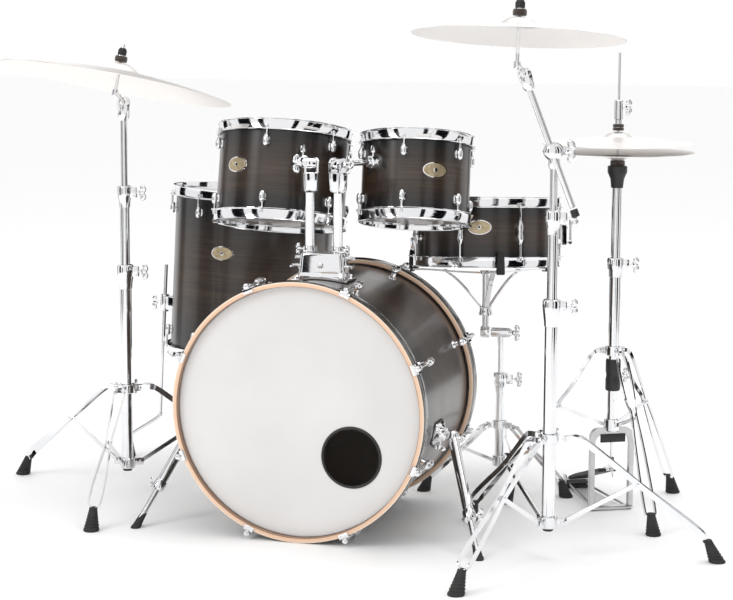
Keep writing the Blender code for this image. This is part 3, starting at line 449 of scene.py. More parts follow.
def bake(tree, fitting, **settings):
    """Runs a tree once with a piece as its fitting, and gives the result as a plain mesh."""
    mesh = bpy.data.meshes.new("fitting")
    fitting.bm.to_mesh(mesh)
    sample = bpy.data.objects.new("fitting", mesh)
    bench = bpy.data.objects.new("bench", bpy.data.meshes.new("bench"))
    scene.collection.objects.link(sample)
    scene.collection.objects.link(bench)
    modifier = bench.modifiers.new("tree", "NODES")
    modifier.node_group = tree
    settings["Fitting"] = sample
    for item in tree.interface.items_tree:
        if item.in_out == "INPUT" and item.name in settings:
            modifier[item.identifier] = settings[item.name]
    result = bpy.data.meshes.new_from_object(bench.evaluated_get(bpy.context.evaluated_depsgraph_get()))
    bpy.data.objects.remove(bench)
    bpy.data.objects.remove(sample)
    return result


def absorb(piece, mesh, place, finish):
    """Adds a baked mesh to a piece."""
    mesh.transform(place)
    mesh.materials.clear()
    before = len(piece.bm.faces)
    piece.bm.from_mesh(mesh)
    piece.bm.faces.ensure_lookup_table()
    for face in piece.bm.faces[before:]:
        face.material_index = finish
    bpy.data.meshes.remove(mesh)


def ring_of(piece, fitting, count, radius, first, height, place, finish=0):
    mesh = bake(RING, fitting, Count=count, Radius=radius, First=math.radians(first), Height=height,
                Finish=bpy.data.materials[piece.finishes[finish].name])
    absorb(piece, mesh, place, finish)


def plate(piece, outline, near, far, place, finish=0):
    """A flat outline of (across, up) points, given thickness along local Y."""
    skin(piece, [[place @ Vector((x, y, z)) for x, z in outline] for y in (near, far)], finish=finish)


def flow(points, steps=5):
    """A smooth run of points through the given ones."""
    points = [Vector(p) for p in points]
    ends = [points[0] * 2.0 - points[1]] + points + [points[-1] * 2.0 - points[-2]]
    run = []
    for a, b, c, d in zip(ends, ends[1:], ends[2:], ends[3:]):
        for i in range(steps):
            t = i / steps
            run.append(0.5 * ((2.0 * b) + (c - a) * t + (2.0 * a - 5.0 * b + 4.0 * c - d) * t * t
                              + (3.0 * b - a - 3.0 * c + d) * t ** 3))
    return run + [points[-1]]


def strip(piece, path, half_width, near, far, place, finish=0, steps=4):
    """A flat bar bent along a path of (out, up) points in a plane."""
    run = flow(path, steps)
    ahead = [(run[min(i + 1, len(run) - 1)] - run[max(i - 1, 0)]).normalized() for i in range(len(run))]
    edge = [(p.x - h.y * half_width, p.y + h.x * half_width) for p, h in zip(run, ahead)]
    back = [(p.x + h.y * half_width, p.y - h.x * half_width) for p, h in zip(run, ahead)]
    plate(piece, edge + back[::-1], near, far, place, finish)


def rod(piece, start, end, radius, finish=0, sides=20):
    """A round bar with a small chamfer at each end."""
    start, end = Vector(start), Vector(end)
    seat = Matrix.Translation(start) @ (end - start).to_track_quat("Z", "Y").to_matrix().to_4x4()
    long, ease = (end - start).length, min(0.0008, radius * 0.2)
    lathe(piece, [(0.0, 0.0), (radius - ease, 0.0), (radius, ease), (radius, long - ease),
                  (radius - ease, long),
                  (0.0, long)], seat, sides, finish)


def cast(piece, levels, place, finish=0, corner=4):
    """A casting through rounded rectangles: each level is (height, half x, half y, corner radius)."""
    rings = []
    for height, half_x, half_y, round_by in levels:
        ring = []
        for quarter, (sx, sy) in enumerate(((1, 1), (-1, 1), (-1, -1), (1, -1))):
            for i in range(corner):
                turn = math.pi / 2.0 * (quarter + i / (corner - 1.0))
                ring.append(place @ Vector((sx * (half_x - round_by) + round_by * math.cos(turn),
                                            sy * (half_y - round_by) + round_by * math.sin(turn), height)))
        rings.append(ring)
    skin(piece, rings, finish=finish)


def block(piece, size, place, finish=0, ease=0.002):
    """A cast block with eased edges."""
    x, y, z = (side / 2.0 for side in size)
    r = min(x, y) * 0.45 if min(x, y) * 0.45 < 3.0 * ease else 2.0 * ease
    cast(piece, [(-z, x - ease, y - ease, r), (-z + ease * 0.3, x - ease * 0.3, y - ease * 0.3, r),
                 (-z + ease, x, y, r),
                 (z - ease, x, y, r), (z - ease * 0.3, x - ease * 0.3, y - ease * 0.3, r),
                 (z, x - ease, y - ease, r)],
         place, finish)


chrome = finish("chrome", 0.08, 1.0)
smear = cloud(chrome, 16.0, 4.0)
chrome.feed(chrome.shader["Base Color"], ramp(chrome, cloud(chrome, 7.0), (0.3, (0.78, 0.785, 0.80)),
                                              (0.7, (0.90, 0.90, 0.91))))
chrome.feed(chrome.shader["Roughness"], 0.035 + smear * 0.10)
relief(chrome, cloud(chrome, 55.0, 2.0), 0.00012, 0.25)

ROD_R = 0.3018
bass_lug = Piece("bass_lug", chrome)
LUG_OUT = ROD_R - BASS_R
lathe(bass_lug, [(0.0, -0.026), (0.0030, -0.0255), (0.0062, -0.0225), (0.0086, -0.0165), (0.0094, -0.006),
                 (0.0094, 0.008), (0.0080, 0.0155), (0.0058, 0.019), (0.0058, 0.0225), (0.0, 0.0225)],
      Matrix.Translation((LUG_OUT, 0.0, 0.0)), 16)
cast(bass_lug, [(0.0, 0.015, 0.0095, 0.009), (0.003, 0.014, 0.0085, 0.008), (0.006, 0.010, 0.0062, 0.006),
                (LUG_OUT, 0.009, 0.0055, 0.005)], Matrix.Rotation(math.pi / 2.0, 4,
                "Y") @ Matrix.Translation((0, 0, -0.001)))
claw = Piece("claw", chrome)
CLAW_OUT = ROD_R - HOOP_R
strip(claw, [(-0.0085, 0.0030), (-0.0060, -0.0022), (0.0, -0.0024), (0.0028, 0.0010), (0.0030, 0.024)],
      0.0012,
      -0.0115, 0.0115, Matrix.Identity(4))
lathe(claw, [(0.0, -0.0045), (0.0058, -0.0045), (0.0066, -0.0035), (0.0070, 0.0120), (0.0055, 0.0150),
             (0.0, 0.0150)],
      Matrix.Translation((CLAW_OUT, 0.0, 0.0)), 16)
block(claw, (0.0062, 0.0062, 0.0090), Matrix.Translation((CLAW_OUT, 0.0, -0.0086)), ease=0.0006)
lathe(claw, [(0.0, -0.0062), (0.0052, -0.0062), (0.0052, -0.0046), (0.0, -0.0046)],
      Matrix.Translation((CLAW_OUT, 0.0, 0.0)), 16)
LUG_DEPTH = 0.092
claw_rod = Piece("claw_rod", chrome)
rod(claw_rod, (CLAW_OUT, 0.0, 0.010), (CLAW_OUT, 0.0, LUG_DEPTH - 0.018), 0.0030, sides=12)
hardware = Piece("bass_lugs_rods_and_claws", chrome)
for end in (BASS, BASS @ TURNED_ROUND):
    facing_out = Matrix.Translation((0.0, 0.0, LUG_DEPTH)) @ Matrix.Rotation(math.pi, 4, "X")
    ring_of(hardware, bass_lug, 8, BASS_R, 22.5, 0.0, end @ facing_out)
    ring_of(hardware, claw, 8, HOOP_R, 22.5, 0.0, end)
    ring_of(hardware, claw_rod, 8, HOOP_R, 22.5, 0.0, end)
fit(hardware, "kit", "chrome")


# ---- bass drum spurs ---------------------------------------------------------------------
# Two folding legs that stop the drum from rolling: a chrome sleeve on a ball joint in a cast
# bracket on the shell, with an inner leg locked by a wing bolt and a ribbed rubber foot.
rubber = finish("rubber", 0.7)
rubber.feed(rubber.shader["Base Color"], ramp(rubber, cloud(rubber, 30.0), (0.3, (0.012,) * 3),
                                              (0.7, (0.030, 0.029, 0.028))))
rubber.feed(rubber.shader["Roughness"], 0.6 + cloud(rubber, 80.0) * 0.25)
relief(rubber, cloud(rubber, 600.0, 3.0), 0.0002, 0.6)


def row_tree():
    """Fittings spaced along a line, which may grow, shrink or turn as they go."""
    net, given = tree_of("fittings_in_a_row", Fitting="Object", Count="Int", Start="Vector", End="Vector",
                         Shrink="Float", Twist="Float", Finish="Material")
    number = net.node("GeometryNodeInputIndex")
    share = number / (given["Count"] - 1.0)
    at = net.node("ShaderNodeMix", {"data_type": "VECTOR"}, {0: share, 4: given["Start"], 5: given["End"]},
                  output=1)
    size = 1.0 - share * given["Shrink"]
    set_out(net, at, number * given["Twist"], net.node("ShaderNodeCombineXYZ",
                                                       inputs={0: size, 1: size, 2: 1.0}), given)
    return net.tree


ROW = row_tree()


def row_of(piece, fitting, count, start, end, place, finish=0, shrink=0.0, twist=0.0):
    mesh = bake(ROW, fitting, Count=count, Start=tuple(start), End=tuple(end), Shrink=shrink, Twist=twist,
                Finish=bpy.data.materials[piece.finishes[finish].name])
    absorb(piece, mesh, place, finish)


def foot(piece, low, high, wide, narrow, finish=1, ribs=6):
    """A rubber foot from the floor up to the leg that it splays out from."""
    low, high = Vector(low), Vector(high)
    rise = high.z - low.z
    lean = Matrix.Translation(low) @ Matrix(((1, 0, (high.x - low.x) / rise, 0),
                                             (0, 1, (high.y - low.y) / rise, 0),
                                             (0, 0, 1, 0), (0, 0, 0, 1)))
    lathe(piece, [(0.0, 0.0), (wide * 0.86, 0.0), (wide * 0.98, 0.0015), (wide, 0.004), (wide * 0.93, 0.007),
                  (wide * 0.84, rise * 0.2), (narrow * 0.92, rise * 0.86), (narrow * 0.86, rise),
                  (0.0, rise)],
          lean, 24, finish)
    rib = Piece("rib", rubber)
    lathe(rib, [(wide * 0.80, -0.0018), (wide * 0.92, -0.0008), (wide * 0.92, 0.0008), (wide * 0.80, 0.0018)],
          Matrix.Identity(4), 24)
    row_of(piece, rib, ribs, (0.0, 0.0, rise * 0.24), (0.0, 0.0, rise * 0.88), lean, finish,
           1.0 - narrow / wide)


def pebble(piece, place, radii, finish=0, sides=16):
    """A smooth ellipsoid."""
    half = [(math.sin(math.pi * i / 8.0), -math.cos(math.pi * i / 8.0)) for i in range(9)]
    half[0], half[-1] = (0.0, -1.0), (0.0, 1.0)
    lathe(piece, half, place @ Matrix.Diagonal((*radii, 1.0)), sides, finish)


def facing(spot, axis, top=UP):
    """A placement at a spot whose local Z runs along the axis, and Y as near the top as it can."""
    axis = Vector(axis).normalized()
    side = Vector(top).cross(axis)
    side = side.normalized() if side.length > 0.001 else Vector((1.0, 0.0, 0.0))
    return Matrix.Translation(Vector(spot)) @ Matrix((side, axis.cross(side), axis)).transposed().to_4x4()


def wing(piece, spot, axis, size=1.0, finish=0, stem=0.012):
    """A wing bolt: its threaded stem, a waisted boss and two rounded wings."""
    seat = facing(spot, axis)
    lathe(piece, [(0.0, -stem), (0.0028, -stem), (0.0028, 0.0), (0.0062 * size, 0.0), (0.0068 * size, 0.002),
                  (0.0050 * size, 0.007), (0.0046 * size, 0.012 * size), (0.0, 0.0135 * size)], seat, 16,
                  finish)
    for side in (-1.0, 1.0):
        flare = seat @ Matrix.Translation((0.0, side * 0.0100 * size,
                                           0.0095 * size)) @ Matrix.Rotation(side * -0.45, 4, "X")
        pebble(piece, flare, (0.0022 * size, 0.0092 * size, 0.0062 * size), finish, 12)


def on_bass(angle, radius, depth):
    """A place on the bass shell: local Z out from its axis, local X forwards along it."""
    turn = math.radians(angle)
    out, back = Vector((math.cos(turn), 0.0, math.sin(turn))), Vector((0.0, 1.0, 0.0))
    spot = out * radius + Vector((0.0, depth, BASS_AXIS))
    return Matrix.Translation(spot) @ Matrix((-back, out.cross(-back), out)).transposed().to_4x4()


SPUR_ANGLE, SPUR_OUT, SPUR_Y, SPUR_BALL = -12.6, 0.3175, 0.190, 0.0155
for body, side, angle, toe in (("spur_right", 1.0, SPUR_ANGLE, (0.423, -0.017, 0.0)),
                               ("spur_left", -1.0, 180.0 - SPUR_ANGLE, (-0.394, 0.018, 0.0))):
    pivot, toe = on_bass(angle, SPUR_OUT, SPUR_Y).translation, Vector(toe)
    long, heading = (toe - pivot).length, (toe - pivot).normalized()
    spur = Piece(body + "_leg", chrome, rubber)
    pebble(spur, Matrix.Translation(pivot), (SPUR_BALL,) * 3, sides=24)
    rod(spur, pivot, pivot + heading * (long - 0.110), 0.0117, sides=28)
    lock = facing(pivot + heading * (long - 0.126), heading)
    lathe(spur, [(0.0069, 0.0), (0.0135, 0.0), (0.0145, 0.002), (0.0145, 0.020), (0.0125, 0.024),
                 (0.0069, 0.024)], lock, 28)
    rod(spur, pivot + heading * (long - 0.140), pivot + heading * (long - 0.020), 0.0067)
    wing(spur, lock @ Vector((side * 0.018, 0.0, 0.012)), lock.to_3x3() @ Vector((side, 0.0, 0.0)), 0.9)
    foot(spur, toe, pivot + heading * (long - 0.040), 0.0118, 0.0092, ribs=5)
    fit(spur, body, "chrome", body)
    bracket = Piece(body + "_bracket", chrome, nylon)
    seat = on_bass(angle, BASS_R, SPUR_Y)
    cast(bracket, [(-0.003, 0.037, 0.027, 0.012), (0.0012, 0.037, 0.027, 0.012)], seat, 1)
    cast(bracket, [(0.0, 0.035, 0.025, 0.011), (0.0045, 0.035, 0.025, 0.011), (0.006, 0.033, 0.023, 0.010),
                   (0.009, 0.022, 0.019, 0.010), (0.0165, 0.0165, 0.0165, 0.014),
                   (0.0212, 0.0150, 0.0150, 0.014)], seat)
    for x in (-0.027, 0.027):
        for y in (-0.016, 0.016):
            pebble(bracket, seat @ Matrix.Translation((x, y, 0.0060)), (0.0038, 0.0038, 0.0022), sides=12)
    wing(bracket, seat @ Vector((0.0, 0.026, 0.013)), seat.to_3x3() @ Vector((0.0, 1.0, 0.0)), 0.9)
    fit(bracket, "kit", "chrome")


# ---- tom mount and posts -----------------------------------------------------------------
# A heavy chromed block on a curved saddle, bolted through the top of the bass shell. Two tube
# posts drop through it and are held by side bolts and by the lock collars that rest on it.
POST_X, POST_Y, POST_R, HEAD_Z = 0.0335, 0.200, 0.0108, 0.832
mount = Piece("tom_mount_block", chrome, nylon)
SADDLE_HALF_ANGLE, SADDLE_STEPS = 0.235, 16
for low, high, spare, look in ((0.0004, 0.0018, 0.002, 1), (0.0018, 0.0060, 0.0, 0)):
    arc = []
    for i in range(SADDLE_STEPS + 1):
        turn = (SADDLE_HALF_ANGLE + spare) * (2.0 * i / SADDLE_STEPS - 1.0)
        ends = 0.046 - 0.010 * (2.0 * i / SADDLE_STEPS - 1.0) ** 6 + spare
        arc.append([Vector(((BASS_R + r) * math.sin(turn), POST_Y + y,
                            BASS_AXIS + (BASS_R + r) * math.cos(turn)))
                    for r, y in ((low, -ends), (high, -ends), (high, ends), (low, ends))])
    skin(mount, arc, finish=look)
cast(mount, [(0.5700, 0.0560, 0.034, 0.012), (0.5790, 0.0560, 0.034, 0.012), (0.5860, 0.0545, 0.0270, 0.012),
             (0.6230, 0.0515, 0.0255, 0.012), (0.6285, 0.0500, 0.0240, 0.011),
             (0.6298, 0.0480, 0.0225, 0.010)],
     Matrix.Translation((0.0, POST_Y, 0.0)), corner=6)
for side in (-1.0, 1.0):
    lathe(mount, [(POST_R + 0.0008, 0.586), (0.0215, 0.586), (0.0205, 0.620), (0.0180, 0.6300),
                  (POST_R + 0.0008, 0.6300)],
          Matrix.Translation((side * POST_X, POST_Y, 0.0)), 36)
    for z, y in ((0.600, -0.012), (0.617, 0.010)):
        rod(mount, (side * 0.050, POST_Y + y, z), (side * 0.066, POST_Y + y, z), 0.0046)
        block(mount, (0.0075, 0.0075, 0.0075), Matrix.Translation((side * 0.068, POST_Y + y, z)), ease=0.0008)
    rod(mount, (side * 0.068, POST_Y - 0.034, 0.600), (side * 0.068, POST_Y + 0.010, 0.600), 0.0026)
    for y in (-0.036, 0.036):
        head = on_bass(90.0 - side * 10.6, BASS_R + 0.006, POST_Y + y)
        lathe(mount, [(0.0, 0.0), (0.0062, 0.0), (0.0062, 0.0035), (0.0045, 0.0052), (0.0, 0.0052)], head, 6)
lathe(mount, [(0.0, 0.0), (0.0075, 0.0), (0.0075, 0.003), (0.0060, 0.0045), (0.0, 0.0045)],
      facing((0.0, POST_Y - 0.0255, 0.604), (0.0, -1.0, 0.0)), 24)
fit(mount, "kit", "chrome", "tom_mount")


def drum_place(centre, lean, tilt):
    """The seat of a drum: local Z is its axis, tilted towards lean."""
    lean = Vector(lean).normalized()
    return Matrix.Translation(Vector(centre)) @ Matrix.Rotation(math.radians(tilt), 4,
        Vector((-lean.y, lean.x, 0.0)))


LARGE = dict(centre=(-0.161, 0.382, 0.784), lean=(0.0, 1.0), radius=0.1524, high=0.2032, flange=0.0105,
             tilt=12.0)
SMALL = dict(centre=(0.158, 0.415, 0.783), lean=(-0.12, 0.99), radius=0.1270, high=0.1778, flange=0.0105,
             tilt=12.0)
ARM_LIFT = 0.0146
arms = {}
for size, tom, side in (("large", LARGE, -1.0), ("small", SMALL, 1.0)):
    pivot = Vector((side * POST_X, POST_Y, HEAD_Z))
    lean = Vector((*tom["lean"], 0.0)).normalized()
    across = Vector((*tom["centre"][:2], 0.0)) + lean * ARM_LIFT - Vector((pivot.x, pivot.y, 0.0))
    heading, face = across.normalized(), across.length - tom["radius"]
    arms[size] = (pivot, heading, face)
    frame_at = Matrix.Translation(pivot) @ heading.to_track_quat("X", "Z").to_matrix().to_4x4()
    post = Piece("post_" + size + "_tube", chrome, nylon)
    stand_at = Matrix.Translation((pivot.x, pivot.y, 0.0))
    lathe(post, [(0.0088, 0.475), (POST_R, 0.475), (POST_R, 0.770), (0.0118, 0.774), (0.0126, 0.786),
                 (0.0088, 0.786)],
          stand_at, 32)
    lathe(post, [(POST_R, 0.6306), (0.0160, 0.6306), (0.0165, 0.632), (0.0165, 0.642), (0.0155, 0.644),
                 (POST_R, 0.644)],
          stand_at, 32)
    wing(post, stand_at @ Vector((side * 0.020, -0.004, 0.6375)), (side, -0.2, 0.0), 0.72, stem=0.006)
    cast(post, [(-0.0650, 0.0130, 0.0130, 0.010), (-0.0600, 0.0160, 0.0165, 0.008),
                (-0.0260, 0.0165, 0.0175, 0.006),
                (-0.0205, 0.0160, 0.0172, 0.006), (-0.0188, 0.0140, 0.0165, 0.006)], frame_at)
    for s in (-1.0, 1.0):
        cheek = [(-0.0125, -0.030), (0.0125, -0.030)] + [(0.0145 * math.cos(math.pi * k / 10.0),
                                                          0.0145 * math.sin(
            math.pi * k / 10.0)) for k in range(11)]
        plate(post, cheek, s * 0.0120, s * 0.0165, frame_at)
        lathe(post, [(0.0, 0.0), (0.0105, 0.0), (0.0100, 0.0025), (0.0, 0.0030)],
              facing(frame_at @ Vector((0.0, s * 0.0165, 0.0)), frame_at.to_3x3() @ Vector((0.0, s, 0.0))),
              24)
    wing(post, frame_at @ Vector((0.0, -side * 0.0215, 0.0)), frame_at.to_3x3() @ Vector((0.0, -side, 0.0)),
         1.15)
    fit(post, "post_" + size, "chrome", "tom_post_" + size)

    arm = Piece("arm_" + size + "_rod", chrome)
    level = frame_at.to_3x3() @ Vector((0.0, 1.0, 0.0))
    lathe(arm, [(0.0, -0.0114), (0.0122, -0.0114), (0.0130, -0.0100), (0.0130, 0.0100), (0.0122, 0.0114),
                (0.0, 0.0114)],
          facing(pivot, level), 32)
    rod(arm, pivot, pivot + heading * (face - 0.006), 0.0064, sides=24)
    lathe(arm, [(0.0060, 0.024), (0.0110, 0.024), (0.0130, 0.027), (0.0130, 0.038), (0.0105, 0.041),
                (0.0060, 0.041)],
          facing(pivot, heading), 32)
    fit(arm, "arm_" + size, "chrome", "tom_arm_" + size)


# ---- shells, hoops and heads of the standing drums ---------------------------------------
# Four maple shells with the same burst lacquer. Each has pressed steel hoops with three
# flanges, chromed lugs bolted on, tension rods with square key heads, and two plastic heads.
FLIP = Matrix.Rotation(math.pi, 4, "X")
SHELL_WALL, HEAD_FILM = 0.006, 0.0009
clear = finish("clear_film", 0.16, constants={"Coat Weight": 0.3})
haze = cloud(clear, 12.0, 3.0)
clear.feed(clear.shader["Base Color"], ramp(clear, haze, (0.3, (0.70, 0.68, 0.66)),
                                            (0.7, (0.82, 0.80, 0.78))))
clear.feed(clear.shader["Alpha"], 0.34 + haze * 0.12)
clear.feed(clear.shader["Roughness"], 0.10 + haze * 0.12)
relief(clear, cloud(clear, 40.0), 0.0001, 0.3)


def hoop_profile(radius, flange, half):
    """Foot flange, wall and rolled top edge of a pressed hoop."""
    wall, bore = radius + 0.0052, radius + 0.0034
    return [(radius + flange, half - 0.0106), (radius + flange + 0.0002, half - 0.0096),
            (radius + flange - 0.0006, half - 0.0090),
            (wall + 0.0006, half - 0.0078), (wall, half - 0.0064), (wall, half + 0.0110),
            (wall + 0.0008, half + 0.0134),
            (wall + 0.0034, half + 0.0146), (wall + 0.0036, half + 0.0156), (wall + 0.0010, half + 0.0160),
            (bore + 0.0006, half + 0.0146), (bore, half + 0.0122), (bore, half - 0.0092),
            (bore + 0.0010, half - 0.0106)]


brass = finish("brass_badge", 0.3, 0.8)
brass.feed(brass.shader["Base Color"], ramp(brass, cloud(brass, 120.0, 4.0), (0.3, (0.42, 0.33, 0.20)),
                                            (0.7, (0.66, 0.55, 0.37))))
brass.feed(brass.shader["Roughness"], 0.24 + cloud(brass, 200.0) * 0.2)
relief(brass, cloud(brass, 700.0, 2.0), 0.0001, 0.4)


def badge(piece, place, radius, angle, height):
    """A blank oval badge, bent to the shell round the air vent's eyelet."""
    seat = place @ Matrix.Rotation(math.radians(angle), 4, "Z")
    for half_wide, half_tall, low, high, look in ((0.0300, 0.0185, 0.0, 0.0012, 2),
                                                  (0.0275, 0.0160, 0.0008, 0.0018, 4)):
        rings = []
        for share, stand in ((0.0, low), (1.0, low), (0.97, high), (0.0, high)):
            ring = []
            for k in range(36):
                turn = 2.0 * math.pi * k / 36.0
                bend = half_wide * share * math.cos(turn) / radius
                ring.append(seat @ Vector(((radius + stand) * math.cos(bend),
                                           (radius + stand) * math.sin(bend),
                                           height + half_tall * share * math.sin(turn))))
            rings.append(ring if share > 0.0 else ring[:1])
        skin(piece, rings, finish=look)
    eyelet = seat @ Matrix.Translation((radius, 0.0, height)) @ Matrix.Rotation(math.pi / 2.0, 4, "Y")
    lathe(piece, [(0.0, 0.0010), (0.0026, 0.0010), (0.0026, 0.0020), (0.0, 0.0020)], eyelet, 16, 3)
    lathe(piece, [(0.0026, 0.0010), (0.0050, 0.0010), (0.0048, 0.0030), (0.0030, 0.0032)], eyelet, 20, 2)


def bullet_lug():
    """A short cast lug with a domed end and the swivel nut's collar towards the hoop."""
    lug = Piece("lug", chrome)
    lathe(lug, [(0.0, -0.0135), (0.0036, -0.0130), (0.0062, -0.0100), (0.0074, -0.0045), (0.0074, 0.0040),
                (0.0062, 0.0085), (0.0046, 0.0105), (0.0046, 0.0135), (0.0, 0.0135)],
                Matrix.Translation((0.0080, 0.0, 0.0)), 16)
    cast(lug, [(-0.001, 0.0110, 0.0080, 0.007), (0.0020, 0.0105, 0.0075, 0.007),
               (0.0045, 0.0070, 0.0050, 0.0045),
               (0.0080, 0.0065, 0.0045, 0.004)], Matrix.Rotation(math.pi / 2.0, 4, "Y"))
    return lug, 0.0135


def double_lug():
    """A long lug that serves the rods of both hoops."""
    lug = Piece("lug", chrome)
    lathe(lug, [(0.0, -0.0290), (0.0046, -0.0290), (0.0046, -0.0255), (0.0064, -0.0225), (0.0078, -0.0160),
                (0.0076, -0.0070),
                (0.0060, 0.0), (0.0076, 0.0070), (0.0078, 0.0160), (0.0064, 0.0225), (0.0046, 0.0255),
                (0.0046, 0.0290),
                (0.0, 0.0290)], Matrix.Translation((0.0095, 0.0, 0.0)), 16)
    for z in (-0.0155, 0.0155):
        cast(lug, [(-0.001, 0.0085, 0.0075, 0.006), (0.0025, 0.0080, 0.0070, 0.006),
                   (0.0095, 0.0060, 0.0050, 0.004)],
             Matrix.Translation((0.0, 0.0, z)) @ Matrix.Rotation(math.pi / 2.0, 4, "Y"))
    return lug, 0.0290


def dress(name, drum, place, sides, count, first, make_lug, lug_height, badge_at):
    """Shell, lugs, rods, hoops and heads of one standing drum."""
    body = "kit" if name == "floor_tom" else name
    radius, half, flange = drum["radius"], drum["high"] / 2.0, drum["flange"]
    shell = Piece(name + "_wood", burst(name + "_burst", place, half), bare_maple(name + "_inside", place),
                  chrome, nylon,
                  brass)
    bore = radius - SHELL_WALL
    lathe(shell, [(bore, 0.003 - half), (radius - 0.002, -half), (radius, 0.0015 - half),
                  (radius, half - 0.0015),
                  (radius - 0.002, half), (bore, half - 0.003)], place, sides, bands={0: 1, 4: 1, 5: 1})
    badge(shell, place, radius, *badge_at)
    fit(shell, body, "lacquered_wood", name + "_shell")

    rods = Piece(name + "_lugs_and_rods", chrome)
    rod_x = flange - 0.0022
    for seat, start in ((place, first), (place @ FLIP, -first)):
        lug, lug_half = make_lug()
        if lug_height > 0.0 or seat is place:
            ring_of(rods, lug, count, radius, start, lug_height, seat)
        key_rod = Piece("key_rod", chrome)
        rod(key_rod, (rod_x, 0.0, lug_height + lug_half - 0.003), (rod_x, 0.0, half - 0.008), 0.0024,
            sides=10)
        lathe(key_rod, [(0.0, half - 0.0092), (0.0048, half - 0.0092), (0.0048, half - 0.0074),
                        (0.0036, half - 0.0066),
                        (0.0, half - 0.0066)], Matrix.Translation((rod_x, 0.0, 0.0)), 14)
        block(key_rod, (0.0052, 0.0052, 0.0082), Matrix.Translation((rod_x, 0.0, half - 0.0028)), ease=0.0005)
        ring_of(rods, key_rod, count, radius, start, 0.0, seat)
    fit(rods, body, "chrome")

    for seat, start, label, node, film, slot in (
            (place, first, "upper", "_hoop_top", frosted, "drum_head"),
            (place @ FLIP, -first, "lower", "_head_and_hoop_bottom", clear, "chrome")):
        hoop = Piece(name + "_hoop_" + label, chrome)
        lathe(hoop, hoop_profile(radius, flange, half), seat, sides)
        ear = Piece("ear", chrome)
        lathe(ear, [(0.0, half - 0.0112), (0.0066, half - 0.0112), (0.0072, half - 0.0104),
                    (0.0066, half - 0.0092),
                    (0.0, half - 0.0092)], Matrix.Translation((rod_x, 0.0, 0.0)), 16)
        ring_of(hoop, ear, count, radius, start, 0.0, seat)
        fit(hoop, body, "chrome", name + node)
        head = Piece(name + "_film_" + label, film, aluminium)
        top = half + 0.0014
        lathe(head, [(0.0, top), (radius * 0.5, top), (radius - 0.004, top), (radius + 0.0004, top - 0.0014),
                     (radius + 0.0010, half - 0.006),
                     (radius + 0.0003, half - 0.006), (radius + 0.0001, half + 0.0001),
                     (radius - 0.004, top - HEAD_FILM), (radius * 0.5, top - HEAD_FILM),
                     (0.0, top - HEAD_FILM)], seat, sides)
        lathe(head, [(radius + 0.0010, half - 0.0040), (radius + 0.0030, half - 0.0046),
                     (radius + 0.0032, half - 0.0010),
                     (radius + 0.0010, half - 0.0004)], seat, sides, 1)
        if label == "upper":
            fit(head, body, slot, name + "_head_top")
        else:
            fit(head, body, slot)


TOM_LUGS = 6
for size, tom, badge_angle in (("large", LARGE, -116.0), ("small", SMALL, -55.0)):
    pivot, heading, face = arms[size]
    place = drum_place(tom["centre"], tom["lean"], tom["tilt"])
    away = math.degrees(math.atan2(-heading.y, -heading.x))
    dress("tom_" + size, tom, place, 96, TOM_LUGS, away + 30.0, bullet_lug, tom["high"] / 2.0 - 0.036,
          (badge_angle, 0.010))
    # The arm goes into a chrome socket on a black tear-drop plate, and a wing bolt holds it.
    grip = Piece("tom_" + size + "_bracket", chrome, nylon)
    frame_at = Matrix.Translation(pivot) @ heading.to_track_quat("X", "Z").to_matrix().to_4x4()
    drop = [(0.031 * math.sin(2.0 * math.pi * k / 28.0) * (1.0 - 0.16 * math.cos(2.0 * math.pi * k / 28.0)),
             -0.016 + 0.034 * math.cos(2.0 * math.pi * k / 28.0)) for k in range(28)]
    lay = frame_at @ Matrix.Rotation(-math.pi / 2.0, 4, "Z")
    skin(grip, [[lay @ Vector((x * s, y, z * s - 0.016 * (1.0 - s))) for x, z in drop]
                for y, s in ((face - 0.0070, 0.84), (face - 0.0058, 0.97), (face - 0.0040, 1.0),
                             (face + 0.0025, 1.0))], finish=1)
    bolt_bar = facing(frame_at @ Vector((face - 0.0330, 0.0, 0.0)), heading)
    lathe(grip, [(0.0070, 0.0), (0.0125, 0.0), (0.0145, 0.0020), (0.0150, 0.0120), (0.0170, 0.0200),
                 (0.0175, 0.0280),
                 (0.0070, 0.0280)], bolt_bar, 32)
    for s in (-1.0, 1.0):
        rod(grip, frame_at @ Vector((face - 0.020, s * 0.010, 0.0)),
            frame_at @ Vector((face - 0.020, s * 0.021, 0.0)), 0.0065)
    wing(grip, frame_at @ Vector((face - 0.020, 0.0, 0.0225)), UP, 1.0)
    pebble(grip, frame_at @ Matrix.Translation((face - 0.0075, 0.0, -0.038)), (0.0030, 0.0044, 0.0044),
           sides=12)
    fit(grip, "tom_" + size, "chrome")


# ---- floor tom ---------------------------------------------------------------------------
# The deepest drum stands on three steel rods, bent outwards near the floor. Each slides in a
# cast bracket with a wing bolt and ends in a ribbed rubber foot.
FLOOR = dict(centre=(-0.370, 0.750, 0.506), lean=(0.66, 0.75), radius=0.2032, high=0.4064, flange=0.0125,
             tilt=3.0)
floor_place = drum_place(FLOOR["centre"], FLOOR["lean"], FLOOR["tilt"])
dress("floor_tom", FLOOR, floor_place, 112, 8, 22.5, bullet_lug, FLOOR["high"] / 2.0 - 0.045, (-93.0, 0.061))
LEG_CIRCLE, LEG_R, TURNOUT = 0.240, 0.0048, 0.082


